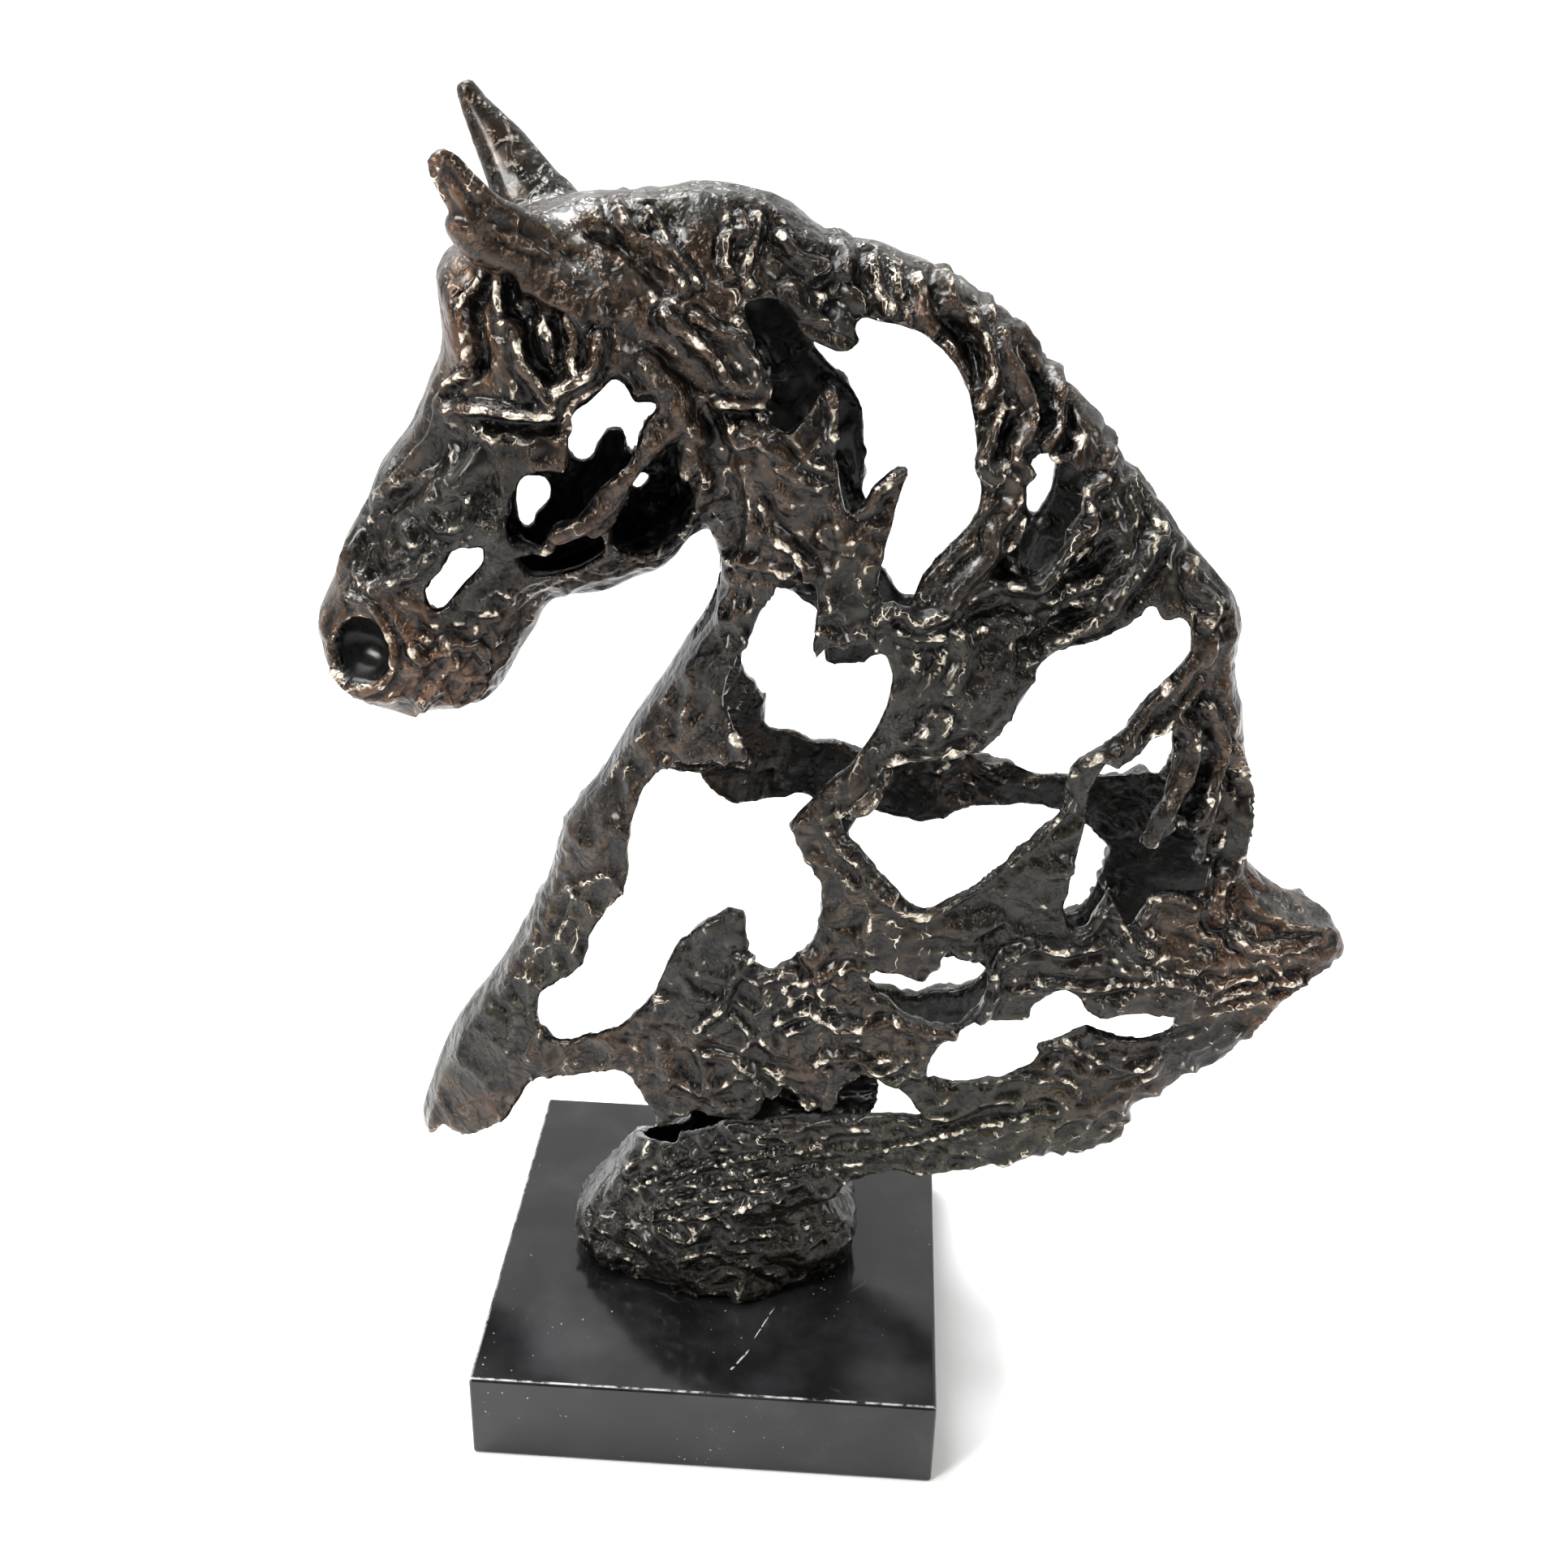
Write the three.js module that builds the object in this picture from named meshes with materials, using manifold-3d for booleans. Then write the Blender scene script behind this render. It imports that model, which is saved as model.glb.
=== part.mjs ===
// Horse head in cast bronze: a hollow, pierced head and neck that stand on a small foot, on a
// square plinth of polished black marble. Millimetres, +Z up. The nose points to -X, the side with
// the open cheek faces -Y, and the origin is the middle of the plinth's underside.
import * as THREE from "three";
import { mergeVertices } from "three/addons/utils/BufferGeometryUtils.js";
import Module from "manifold-3d";

// Driving dimensions
const PLINTH_SIDE = 150;
const PLINTH_THICKNESS = 32;
const PLINTH_CHAMFER = 1.2;
const FIGURE_HEIGHT = 382; // from the plinth's top to the higher ear's tip
const WALL = 4.5; // thickness of the cast bronze
const SEAT_GAP = 0.3; // between the foot and the plinth
const HEAD_TURN = 9; // degrees that the head turns towards -Y

// Every outline below is drawn for a figure 382 mm tall, and grows with it.
const DRAWN_HEIGHT = 382;
const SIZE = FIGURE_HEIGHT / DRAWN_HEIGHT;
const REACH = 420; // longer than the figure, for cutters that run past it

const wasm = await Module();
wasm.setup();

// Solids from closed meshes, and meshes from solids
function solid(geometry) {
  const bare = geometry.clone();
  bare.deleteAttribute("normal");
  bare.deleteAttribute("uv");
  const merged = mergeVertices(bare, 1e-4);
  return new wasm.Manifold(
    new wasm.Mesh({
      numProp: 3,
      vertProperties: merged.attributes.position.array,
      triVerts: new Uint32Array(merged.index.array),
    }),
  );
}

function geometryOf(made) {
  const mesh = made.getMesh();
  const position = new Float32Array(mesh.numVert * 3);
  for (let i = 0; i < mesh.numVert; i++) {
    position.set(mesh.vertProperties.subarray(i * mesh.numProp, i * mesh.numProp + 3), i * 3);
  }
  const geometry = new THREE.BufferGeometry();
  geometry.setAttribute("position", new THREE.BufferAttribute(position, 3));
  geometry.setIndex(new THREE.BufferAttribute(mesh.triVerts, 1));
  return geometry;
}

// Closed skin over a row of rings, each a list of as many points.
function loft(rings) {
  const size = rings[0].length;
  const index = [];
  for (let r = 0; r + 1 < rings.length; r++) {
    for (let i = 0; i < size; i++) {
      const a = r * size + i;
      const b = r * size + ((i + 1) % size);
      index.push(a, a + size, b, b, a + size, b + size);
    }
  }
  const last = (rings.length - 1) * size;
  for (let i = 1; i + 1 < size; i++) {
    index.push(0, i, i + 1, last, last + i + 1, last + i);
  }
  const geometry = new THREE.BufferGeometry();
  const position = rings.flat().flatMap((point) => point.toArray());
  geometry.setAttribute("position", new THREE.Float32BufferAttribute(position, 3));
  geometry.setIndex(index);
  return solid(geometry);
}

// Prism over an outline of the side view, from one y to another.
function slab(outline, fromY, toY) {
  const shape = new THREE.Shape(outline.map(([x, z]) => new THREE.Vector2(x * SIZE, z * SIZE)));
  const prism = new THREE.ExtrudeGeometry(shape, { depth: toY - fromY, bevelEnabled: false });
  prism.rotateX(Math.PI / 2);
  prism.translate(0, toY, 0);
  // Both faces lie exactly in their planes, so that a near and a far slab meet without a skin.
  const position = prism.attributes.position;
  for (let i = 0; i < position.count; i++) {
    position.setY(i, position.getY(i) * 2 > fromY + toY ? toY : fromY);
  }
  return solid(prism);
}

function sideCurve(points) {
  return new THREE.SplineCurve(points.map(([x, z]) => new THREE.Vector2(x * SIZE, z * SIZE)));
}

function widthCurve(rows) {
  return new THREE.CatmullRomCurve3(
    rows.map(([inner, middle, outer]) => new THREE.Vector3(inner, middle, outer).multiplyScalar(SIZE)),
  );
}

// Body of the head and neck. Two lines bound its side view: the inner line runs along lips, jaw,
// throat and chest, and the outer line along nose, forehead, poll, crest and withers. Points with
// one index face each other, and each pair has three half thicknesses: at the inner line, half way
// and at the outer line.
const NECK = {
  inner: sideCurve([
    [-104, 222], [-102, 215], [-97, 211], [-86, 209], [-75, 211], [-65, 218], [-59, 231],
    [-52, 242], [-41, 245], [-29, 248], [-20, 253], [-12, 259], [-8, 265], [-5, 264],
    [-4, 260], [-3, 254], [-4, 244], [-8, 234], [-14, 225], [-22, 213], [-31, 198],
    [-42, 180], [-53, 163], [-58, 145], [-68, 122], [-82, 101], [-95, 78], [-105, 50],
    [-101, 26], [-96, 4], [-88, -26],
  ]),
  outer: sideCurve([
    [-108, 223], [-115, 226], [-119, 234], [-117, 245], [-112, 256], [-106, 268], [-100, 279],
    [-92, 292], [-84, 305], [-80, 316], [-79, 329], [-79, 341], [-62, 350], [-43, 357],
    [-22, 358], [2, 360], [28, 348], [56, 339], [82, 322], [106, 297], [129, 269],
    [149, 247], [151, 222], [161, 190], [161, 166], [173, 152], [191, 144], [198, 131],
    [189, 112], [168, 88], [146, 60],
  ]),
  widths: widthCurve([
    [15, 16, 14], [20, 23, 18], [23, 24, 19], [24, 24, 21], [24, 25, 23], [22, 25, 24],
    [20, 26, 25], [20, 28, 27], [22, 30, 29], [23, 31, 31], [24, 32, 33], [24, 32, 33],
    [24, 31, 31], [24, 30, 27], [23, 29, 23], [23, 29, 20], [23, 29, 19], [24, 30, 19],
    [25, 31, 20], [26, 33, 21], [27, 35, 22], [28, 36, 23], [28, 37, 24], [28, 38, 26],
    [28, 38, 28], [28, 38, 30], [27, 38, 30], [25, 37, 28], [25, 37, 28], [25, 37, 28],
    [25, 37, 28],
  ]),
};

// Keel: the boat-shaped underside, from inside the body down to the foot on the plinth.
const KEEL = {
  inner: sideCurve([
    [-29, 80], [-29, 62], [-30, 50], [-33, 40], [-38, 31], [-47, 20], [-53, 9], [-49, 0],
  ]),
  outer: sideCurve([
    [152, 90], [150, 60], [100, 50], [60, 42], [37, 31], [46, 19], [48, 9], [44, 0],
  ]),
  widths: widthCurve([
    [26, 36, 30], [25, 36, 30], [24, 35, 30], [23, 33, 28], [23, 32, 27], [26, 33, 28],
    [28, 33, 29], [27, 32, 27],
  ]),
};

const FULLNESS = 0.72; // below 1 squares the rounded edges of a section

// Carving on the outer skin, in millimetres out of the surface: twisted locks along the crest
// from poll to withers, and shallow lumps elsewhere. A lock leans as it comes down the side, and
// the furrow between two locks goes deeper than their backs rise.
const LOCKS = {
  from: 0.42,
  to: 0.84,
  fade: 0.05,
  lowest: 0.55,
  full: 0.75,
  count: 15,
  height: 2.6,
  lean: 4.4,
  skew: 0.25,
  furrow: 0.6,
};
const LUMPS = { along: 31, around: 4, height: 0.9 };
function carving(share, across, side) {
  const lumps = Math.sin(share * LUMPS.along * Math.PI) * Math.cos(across * LUMPS.around * Math.PI);
  const inLocks =
    THREE.MathUtils.smoothstep(across, LOCKS.lowest, LOCKS.full) *
    THREE.MathUtils.smoothstep(share, LOCKS.from, LOCKS.from + LOCKS.fade) *
    (1 - THREE.MathUtils.smoothstep(share, LOCKS.to - LOCKS.fade, LOCKS.to));
  const position = (share - LOCKS.from) / (LOCKS.to - LOCKS.from);
  const turn = position * LOCKS.count + (1 - across) * LOCKS.lean + side * LOCKS.skew;
  const locks = Math.abs(Math.sin(turn * Math.PI)) - LOCKS.furrow;
  return (LOCKS.height * locks * inLocks + LUMPS.height * lumps * (1 - inLocks)) * SIZE;
}

// One ring of a body's skin, shrunk by inset: flat sides, round along both lines.
function ring(body, share, sides, inset, relief) {
  const widths = body.widths.getPoint(share);
  const inner = body.inner.getPoint(share);
  const outer = body.outer.getPoint(share);
  const depth = inner.distanceTo(outer);
  const along = outer.clone().sub(inner).divideScalar(depth);
  const points = [];
  for (let i = 0; i < sides; i++) {
    const angle = (2 * Math.PI * i) / sides;
    const across = (1 - Math.cos(angle)) / 2;
    const half =
      across < 0.5
        ? THREE.MathUtils.lerp(widths.x, widths.y, THREE.MathUtils.smoothstep(across, 0, 0.5))
        : THREE.MathUtils.lerp(widths.y, widths.z, THREE.MathUtils.smoothstep(across, 0.5, 1));
    const side = -Math.sign(Math.sin(angle)) * Math.abs(Math.sin(angle)) ** FULLNESS;
    const shrink = inset - (relief ? carving(share, across, side) : 0);
    const reach = shrink + across * (depth - 2 * shrink);
    points.push(
      new THREE.Vector3(
        inner.x + along.x * reach,
        side * (half - shrink),
        inner.y + along.y * reach,
      ),
    );
  }
  return points;
}

function skin(body, { stations, sides, inset = 0, from = 0, to = 1, relief = false }) {
  const rings = [];
  for (let i = 0; i <= stations; i++) {
    rings.push(ring(body, from + ((to - from) * i) / stations, sides, inset, relief));
  }
  return loft(rings);
}

// What is cut out of the near wall, towards -Y, and out of the far wall: side-view outlines,
// [x, z]. Each wall ends in a free lower edge, and below that edge its outline runs wide of the
// skin.
const NEAR_CUTS = {
  below: [
    [-180, -40], [-180, 40], [-104, 42], [-98, 45], [-95, 51], [-88, 49], [-81, 52], [-73, 58],
    [-70, 61], [-67, 67], [-64, 74], [-60, 79], [-50, 82], [-42, 84], [-34, 88], [-29, 87],
    [-26, 81], [-21, 75], [-19, 67], [-13, 73], [-7, 77], [4, 76], [12, 77], [15, 81], [17, 88],
    [22, 90], [29, 86], [35, 83], [38, 84], [40, 90], [42, 95], [47, 98], [55, 94], [60, 90],
    [66, 84], [70, 60], [95, 61], [113, 65], [126, 67], [134, 70], [133, 82], [140, 86], [146, 92],
    [151, 96], [162, 98], [165, 105], [170, 113], [176, 121], [186, 128], [193, 130], [260, 132],
    [260, -40],
  ],
  cheek: [
    [-58, 288], [-51, 290], [-46, 289], [-45, 303], [-42, 308], [-39, 310], [-32, 316],
    [-29, 312], [-28, 309], [-21, 309], [-22, 307], [-25, 304], [-27, 298], [-29, 292],
    [-38, 285], [-44, 277], [-50, 276], [-51, 270], [-56, 269], [-63, 272], [-63, 277], [-61, 283],
  ],
  jaw: [
    [-19, 297], [-16, 295], [-15, 288], [-13, 283], [-11, 277], [-12, 271], [-15, 268],
    [-22, 264], [-29, 263], [-33, 265], [-34, 272], [-32, 278], [-29, 284], [-26, 290], [-22, 296],
  ],
  underCheek: [
    [-62, 266], [-53, 264], [-50, 267], [-45, 270], [-37, 270], [-36, 265], [-44, 260],
    [-50, 259], [-57, 259],
  ],
  muzzle: [
    [-76, 267], [-69, 268], [-70, 263], [-73, 260], [-76, 257], [-82, 250], [-85, 250],
    [-86, 252], [-86, 255], [-81, 260], [-79, 265],
  ],
  crest: [
    [1, 333], [10, 333], [15, 327], [18, 323], [25, 320], [30, 319], [34, 321], [32, 325],
    [33, 327], [42, 326], [49, 324], [55, 320], [60, 316], [64, 309], [66, 303], [68, 294],
    [70, 285], [70, 280], [63, 272], [58, 267], [55, 262], [53, 256], [48, 255], [44, 256],
    [43, 261], [45, 269], [46, 277], [47, 283], [50, 290], [49, 292], [46, 293], [40, 287],
    [35, 280], [32, 280], [30, 285], [28, 291], [28, 305], [27, 311], [25, 313], [22, 311],
    [19, 305], [13, 301], [10, 304], [8, 300], [7, 306], [9, 310], [9, 314], [6, 319], [3, 325],
  ],
  mane: [
    [83, 293], [85, 295], [90, 292], [95, 290], [99, 286], [99, 280], [95, 274], [93, 268],
    [89, 265], [83, 266], [80, 269], [82, 273], [84, 276], [83, 283],
  ],
  throat: [
    [17, 258], [21, 261], [25, 259], [26, 252], [26, 244], [25, 237], [27, 235], [29, 238],
    [32, 240], [41, 242], [48, 237], [49, 232], [47, 223], [44, 216], [38, 206], [31, 199],
    [25, 191], [20, 184], [21, 181], [25, 174], [30, 167], [31, 157], [29, 147], [23, 140],
    [17, 137], [11, 138], [9, 144], [9, 153], [7, 156], [3, 155], [-5, 148], [-12, 140],
    [-16, 131], [-19, 122], [-24, 115], [-31, 107], [-38, 103], [-47, 99], [-54, 98], [-58, 100],
    [-59, 106], [-57, 111], [-50, 117], [-43, 123], [-41, 131], [-39, 138], [-34, 145],
    [-30, 150], [-28, 159], [-28, 169], [-27, 177], [-24, 186], [-19, 193], [-14, 197], [-7, 198],
    [0, 200], [8, 202], [6, 208], [3, 213], [0, 219], [1, 225], [5, 233], [8, 238], [10, 247],
  ],
  strut: [
    [75, 209], [80, 214], [85, 223], [88, 230], [90, 236], [99, 240], [106, 241], [112, 244],
    [118, 248], [123, 254], [123, 249], [124, 246], [127, 246], [130, 247], [133, 243],
    [134, 237], [130, 233], [125, 228], [120, 222], [116, 214], [110, 211], [104, 208],
    [101, 204], [101, 200], [101, 194], [97, 189], [94, 186], [90, 182], [86, 179], [82, 173],
    [77, 169], [69, 164], [65, 161], [61, 161], [56, 165], [50, 171], [42, 181], [38, 184],
    [36, 188], [38, 191], [42, 191], [47, 194], [48, 198], [46, 201], [48, 205], [52, 207],
    [60, 208], [68, 209],
  ],
  withers: [
    [112, 204], [122, 208], [129, 213], [132, 217], [132, 203], [131, 196], [128, 188],
    [124, 180], [124, 177], [128, 177], [133, 178], [139, 185], [142, 177], [148, 167],
    [147, 161], [137, 163], [131, 162], [127, 156], [124, 150], [121, 155], [117, 165],
    [114, 158], [111, 152], [107, 153], [104, 157], [106, 172], [108, 186], [109, 196], [110, 201],
  ],
  shoulder: [
    [47, 134], [49, 137], [54, 138], [60, 133], [64, 132], [67, 137], [70, 144], [78, 144], [82, 139],
    [83, 132], [81, 126], [75, 121], [68, 120], [61, 122], [55, 127], [50, 131],
  ],
  flank: [
    [66, 105], [71, 111], [78, 118], [83, 120], [96, 120], [98, 125], [101, 128], [106, 130],
    [111, 128], [114, 123], [119, 120], [129, 121], [136, 121], [142, 119], [142, 115],
    [138, 114], [132, 113], [126, 114], [120, 116], [115, 119], [110, 117], [104, 114],
    [101, 110], [99, 105], [90, 101], [76, 99], [67, 98],
  ],
};
const FAR_CUTS = {
  below: [
    [-180, -40], [-180, 40], [-104, 42], [-98, 45], [-88, 50], [-78, 56], [-73, 64], [-71, 75],
    [-66, 88], [-53, 104], [-40, 124], [-36, 146], [-32, 168], [-26, 173], [-20, 174], [-12, 172],
    [-8, 165], [-2, 160], [6, 159], [15, 159], [21, 162], [26, 160], [29, 148], [31, 135],
    [31, 122], [28, 108], [22, 94], [17, 88], [8, 92], [4, 100], [0, 107], [-6, 105], [-12, 97],
    [-18, 88], [-22, 78], [-20, 66], [-12, 56], [40, 46], [58, 52], [72, 64], [80, 70], [87, 77],
    [95, 85], [102, 94], [115, 98], [125, 92], [137, 90], [150, 96], [161, 101], [168, 116],
    [174, 124], [184, 130], [260, 132], [260, -40],
  ],
  cheek: [
    [-31, 300], [-28, 296], [-27, 293], [-20, 294], [-20, 291], [-24, 288], [-26, 282],
    [-29, 277], [-30, 279], [-29, 283], [-30, 286], [-34, 286], [-36, 284], [-38, 281],
    [-39, 278], [-42, 276], [-46, 277], [-47, 284], [-44, 290], [-40, 293], [-36, 297], [-33, 300],
  ],
  cheekFront: [
    [-61, 271], [-53, 271], [-52, 266], [-54, 263], [-57, 261], [-57, 258], [-61, 257], [-62, 265],
  ],
  jaw: [[-23, 276], [-23, 272], [-28, 268], [-30, 269], [-27, 273]],
  muzzle: [
    [-71, 251], [-72, 244], [-74, 240], [-79, 237], [-85, 231], [-90, 230], [-91, 235],
    [-89, 240], [-84, 245], [-81, 250], [-77, 251],
  ],
  crest: [
    [24, 312], [29, 306], [34, 301], [38, 295], [39, 289], [39, 267], [40, 255], [44, 243],
    [50, 234], [56, 232], [64, 243], [74, 252], [78, 262], [76, 276], [75, 289], [72, 300],
    [66, 310], [58, 318], [48, 321], [38, 321], [30, 317],
  ],
  mane: [
    [89, 286], [93, 284], [93, 278], [92, 271], [89, 264], [87, 265], [86, 273], [86, 281],
  ],
  throat: [
    [15, 236], [20, 230], [25, 228], [27, 219], [28, 211], [32, 209], [38, 209], [43, 212],
    [50, 213], [55, 205], [52, 192], [46, 180], [40, 178], [35, 181], [24, 182], [19, 185],
    [14, 186], [10, 188], [9, 199], [6, 204], [3, 209], [2, 216], [4, 224], [8, 231], [11, 236],
  ],
  strut: [
    [76, 180], [80, 177], [86, 178], [92, 178], [98, 176], [104, 177], [117, 179], [127, 181],
    [136, 184], [140, 192], [141, 205], [143, 225], [139, 236], [133, 243], [124, 244],
    [112, 238], [100, 232], [92, 226], [84, 215], [78, 203], [74, 192],
  ],
  shoulder: [
    [42, 156], [47, 155], [53, 153], [62, 152], [68, 154], [73, 158], [80, 161], [88, 162],
    [101, 164], [108, 162], [115, 159], [119, 156], [123, 151], [121, 142], [119, 132],
    [117, 126], [108, 122], [95, 118], [80, 112], [65, 107], [54, 108], [46, 118], [40, 132],
    [38, 146],
  ],
  flank: [
    [44, 90], [50, 87], [58, 86], [64, 84], [70, 88], [78, 89], [84, 93], [88, 98], [80, 102],
    [66, 101], [52, 99], [44, 96],
  ],
};
const KEEL_END = 76; // where the near wall of the body takes over from the keel
const KEEL_NEAR_CUTS = {
  above: [
    [-180, 130], [-180, 70], [-20, 72], [-19, 66], [-27, 56], [-21, 54], [-9, 61], [-1, 65],
    [2, 69], [8, 71], [14, 72], [19, 76], [28, 79], [39, 81], [44, 80], [49, 83], [55, 84],
    [66, 84], [KEEL_END, 84], [KEEL_END, 130],
  ],
  behind: [
    [KEEL_END, 130], [KEEL_END, 63], [60, 60], [50, 57], [42, 52], [36, 46], [34, 38], [60, 30],
    [60, -20], [260, -20], [260, 130],
  ],
};
const KEEL_FAR_CUTS = {
  above: [
    [-180, 130], [-180, 66], [46, 66], [52, 58], [53, 46], [50, 38], [60, 30], [60, -20],
    [260, -20], [260, 130],
  ],
};

// The lower edges of the openings in the near wall are worn down.
const EDGE_FALL = 2.6;
function worn(outline) {
  const points = outline.map(([x, z]) => new THREE.Vector2(x, z));
  const turn = Math.sign(THREE.ShapeUtils.area(points));
  return points.map((point, i) => {
    const run = points[(i + 1) % points.length].clone().sub(points.at(i - 1)).normalize();
    return [point.x, point.y - EDGE_FALL * Math.max(0, run.x * turn)];
  });
}

function pierced(shell, nearCuts, farCuts) {
  let made = shell;
  for (const outline of Object.values(nearCuts)) {
    made = made.subtract(slab(worn(outline), -REACH, 0));
  }
  for (const outline of Object.values(farCuts)) {
    made = made.subtract(slab(outline, 0, REACH));
  }
  return made;
}

function headAndNeck() {
  const outside = skin(NECK, { stations: 62, sides: 24, relief: true });
  const inside = skin(NECK, { stations: 30, sides: 16, inset: WALL, from: 0.02, to: 1 });
  return pierced(outside.subtract(inside), NEAR_CUTS, FAR_CUTS);
}

// The keel's rim falls from the near side to the far side at its front end: a tilted block takes
// off what stands above it.
const RIM_FALL = 27; // degrees
const RIM = { front: -74, back: -14, middle: 44, breadth: 200, height: 80 };
function keel() {
  const outside = skin(KEEL, { stations: 14, sides: 22 });
  const inside = skin(KEEL, { stations: 10, sides: 18, inset: WALL, from: 0, to: 0.94 });
  const rim = new THREE.BoxGeometry(RIM.back - RIM.front, RIM.breadth, RIM.height);
  rim.translate((RIM.front + RIM.back) / 2, 0, RIM.height / 2);
  rim.rotateX(THREE.MathUtils.degToRad(-RIM_FALL));
  rim.translate(0, 0, RIM.middle);
  rim.scale(SIZE, SIZE, SIZE);
  return pierced(outside.subtract(inside), KEEL_NEAR_CUTS, KEEL_FAR_CUTS).subtract(solid(rim));
}

// Each ear is a pointed leaf that leans forward and out from the poll: centre line and half
// widths from base to tip. The far ear stands higher.
const EARS = [
  {
    centre: [[-48, -12, 337], [-57, -17, 345], [-66, -21, 354], [-72, -25, 363], [-76, -28, 370]],
    width: [14, 11.5, 7.5, 4.4, 2.8],
    thickness: [8, 6.5, 4.5, 3.2, 2.2],
  },
  {
    centre: [[-46, 13, 344], [-55, 17, 353], [-62, 23, 365], [-69, 27, 375], [-72, 28, 381]],
    width: [13, 10.5, 7.5, 4.2, 2.6],
    thickness: [8, 6, 4.5, 3.2, 2.2],
  },
];
const EAR_SIDES = 12;
const EAR_BREADTH = new THREE.Vector3(0.92, 0, 0.39); // from the front edge to the back edge
function ear({ centre, width, thickness }) {
  const curve = new THREE.CatmullRomCurve3(centre.map((point) => new THREE.Vector3(...point)));
  const rings = width.map((half, i) => {
    const share = i / (width.length - 1);
    const tangent = curve.getTangent(share);
    const wide = EAR_BREADTH.clone();
    wide.addScaledVector(tangent, -wide.dot(tangent)).normalize();
    const thick = new THREE.Vector3().crossVectors(wide, tangent);
    return Array.from({ length: EAR_SIDES }, (_, k) => {
      const angle = (2 * Math.PI * k) / EAR_SIDES;
      return curve
        .getPoint(share)
        .addScaledVector(wide, Math.cos(angle) * half)
        .addScaledVector(thick, Math.sin(angle) * thickness[i])
        .multiplyScalar(SIZE);
    });
  });
  return loft(rings);
}

// The head looks towards -Y: what lies forward and up turns about the vertical through the origin.
const TURN_FROM = 200;
const TURN_TO = 320;
const TURN_LEAN = 0.9;
function turnHead(geometry) {
  const position = geometry.attributes.position;
  for (let i = 0; i < position.count; i++) {
    const x = position.getX(i);
    const y = position.getY(i);
    const forward = (position.getZ(i) - TURN_LEAN * x) / SIZE;
    const share = THREE.MathUtils.smoothstep(forward, TURN_FROM, TURN_TO);
    const angle = THREE.MathUtils.degToRad(HEAD_TURN * share);
    position.setX(i, x * Math.cos(angle) - y * Math.sin(angle));
    position.setY(i, x * Math.sin(angle) + y * Math.cos(angle));
  }
  return geometry;
}

function bronzeHead() {
  let made = headAndNeck().add(keel());
  for (const shape of EARS) {
    made = made.add(ear(shape));
  }
  const material = new THREE.MeshStandardMaterial({
    color: 0x3f362c,
    metalness: 0.85,
    roughness: 0.42,
  });
  const mesh = new THREE.Mesh(turnHead(geometryOf(made)), material);
  mesh.name = "horse_head";
  mesh.position.z = PLINTH_THICKNESS + SEAT_GAP;
  return mesh;
}

function plinth() {
  const half = PLINTH_SIDE / 2 - PLINTH_CHAMFER;
  const shape = new THREE.Shape([
    new THREE.Vector2(-half, -half),
    new THREE.Vector2(half, -half),
    new THREE.Vector2(half, half),
    new THREE.Vector2(-half, half),
  ]);
  const block = new THREE.ExtrudeGeometry(shape, {
    depth: PLINTH_THICKNESS - 2 * PLINTH_CHAMFER,
    bevelSize: PLINTH_CHAMFER,
    bevelThickness: PLINTH_CHAMFER,
    bevelSegments: 1,
  });
  block.translate(0, 0, PLINTH_CHAMFER);
  const material = new THREE.MeshStandardMaterial({
    color: 0x0d0d0e,
    metalness: 0,
    roughness: 0.12,
  });
  const mesh = new THREE.Mesh(block, material);
  mesh.name = "plinth";
  return mesh;
}

const sculpture = new THREE.Group();
sculpture.add(bronzeHead(), plinth());
export default sculpture;
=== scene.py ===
# %% [markdown]
# # An openwork bronze horse head on a black marble plinth
# The real object is a hollow head and neck cast in bronze, pierced right through in many places,
# with a dark brown patina that is rubbed bright along every ridge. It stands on a small foot on a
# square of polished black marble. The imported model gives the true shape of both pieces. This
# script keeps that shape, and adds what a modeller's thumb and wire leave behind: scoops, ridges,
# twisted locks, rims, and then the patina, the wear and the stone.

# %% Load the frame
import math

import bmesh
import bpy
import numpy as np
from mathutils import Matrix, Vector, noise
from mathutils.bvhtree import BVHTree


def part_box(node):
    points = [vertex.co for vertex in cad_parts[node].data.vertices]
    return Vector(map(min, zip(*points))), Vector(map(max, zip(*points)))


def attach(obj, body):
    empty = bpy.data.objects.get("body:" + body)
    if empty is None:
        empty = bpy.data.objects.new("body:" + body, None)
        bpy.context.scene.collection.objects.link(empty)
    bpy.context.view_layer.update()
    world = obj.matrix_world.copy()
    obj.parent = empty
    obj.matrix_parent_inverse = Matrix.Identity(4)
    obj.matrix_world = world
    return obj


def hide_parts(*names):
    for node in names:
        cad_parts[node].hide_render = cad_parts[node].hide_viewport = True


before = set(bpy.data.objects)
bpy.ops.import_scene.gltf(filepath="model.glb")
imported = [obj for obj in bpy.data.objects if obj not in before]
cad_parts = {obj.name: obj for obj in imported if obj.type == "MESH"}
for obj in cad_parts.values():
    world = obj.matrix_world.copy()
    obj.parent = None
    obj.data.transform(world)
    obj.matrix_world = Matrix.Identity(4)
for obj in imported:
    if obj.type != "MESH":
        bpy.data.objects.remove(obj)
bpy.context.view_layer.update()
MM = 0.001
bronze_low, bronze_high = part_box("horse_head")
plinth_low, plinth_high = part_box("plinth")

# %% [markdown]
# ## The camera
# The plinth is square, so its four top corners in the picture give the place of the lens: a
# little right of the middle, half a metre away, and looking down by 27 degrees. The same camera
# also places the small details, because a ray through a picture point meets the bronze where
# that detail sits on the real one.

# %% Camera
PICTURE = 1932
FOCAL_LENGTH = 2264.17  # in picture points
SENSOR = 36.0
PITCH = math.radians(26.854)
YAW = math.radians(-2.735)
ROLL = math.radians(1.550)
LENS_PLACE = Vector((0.0418, -0.5074, 0.4704))

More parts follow.
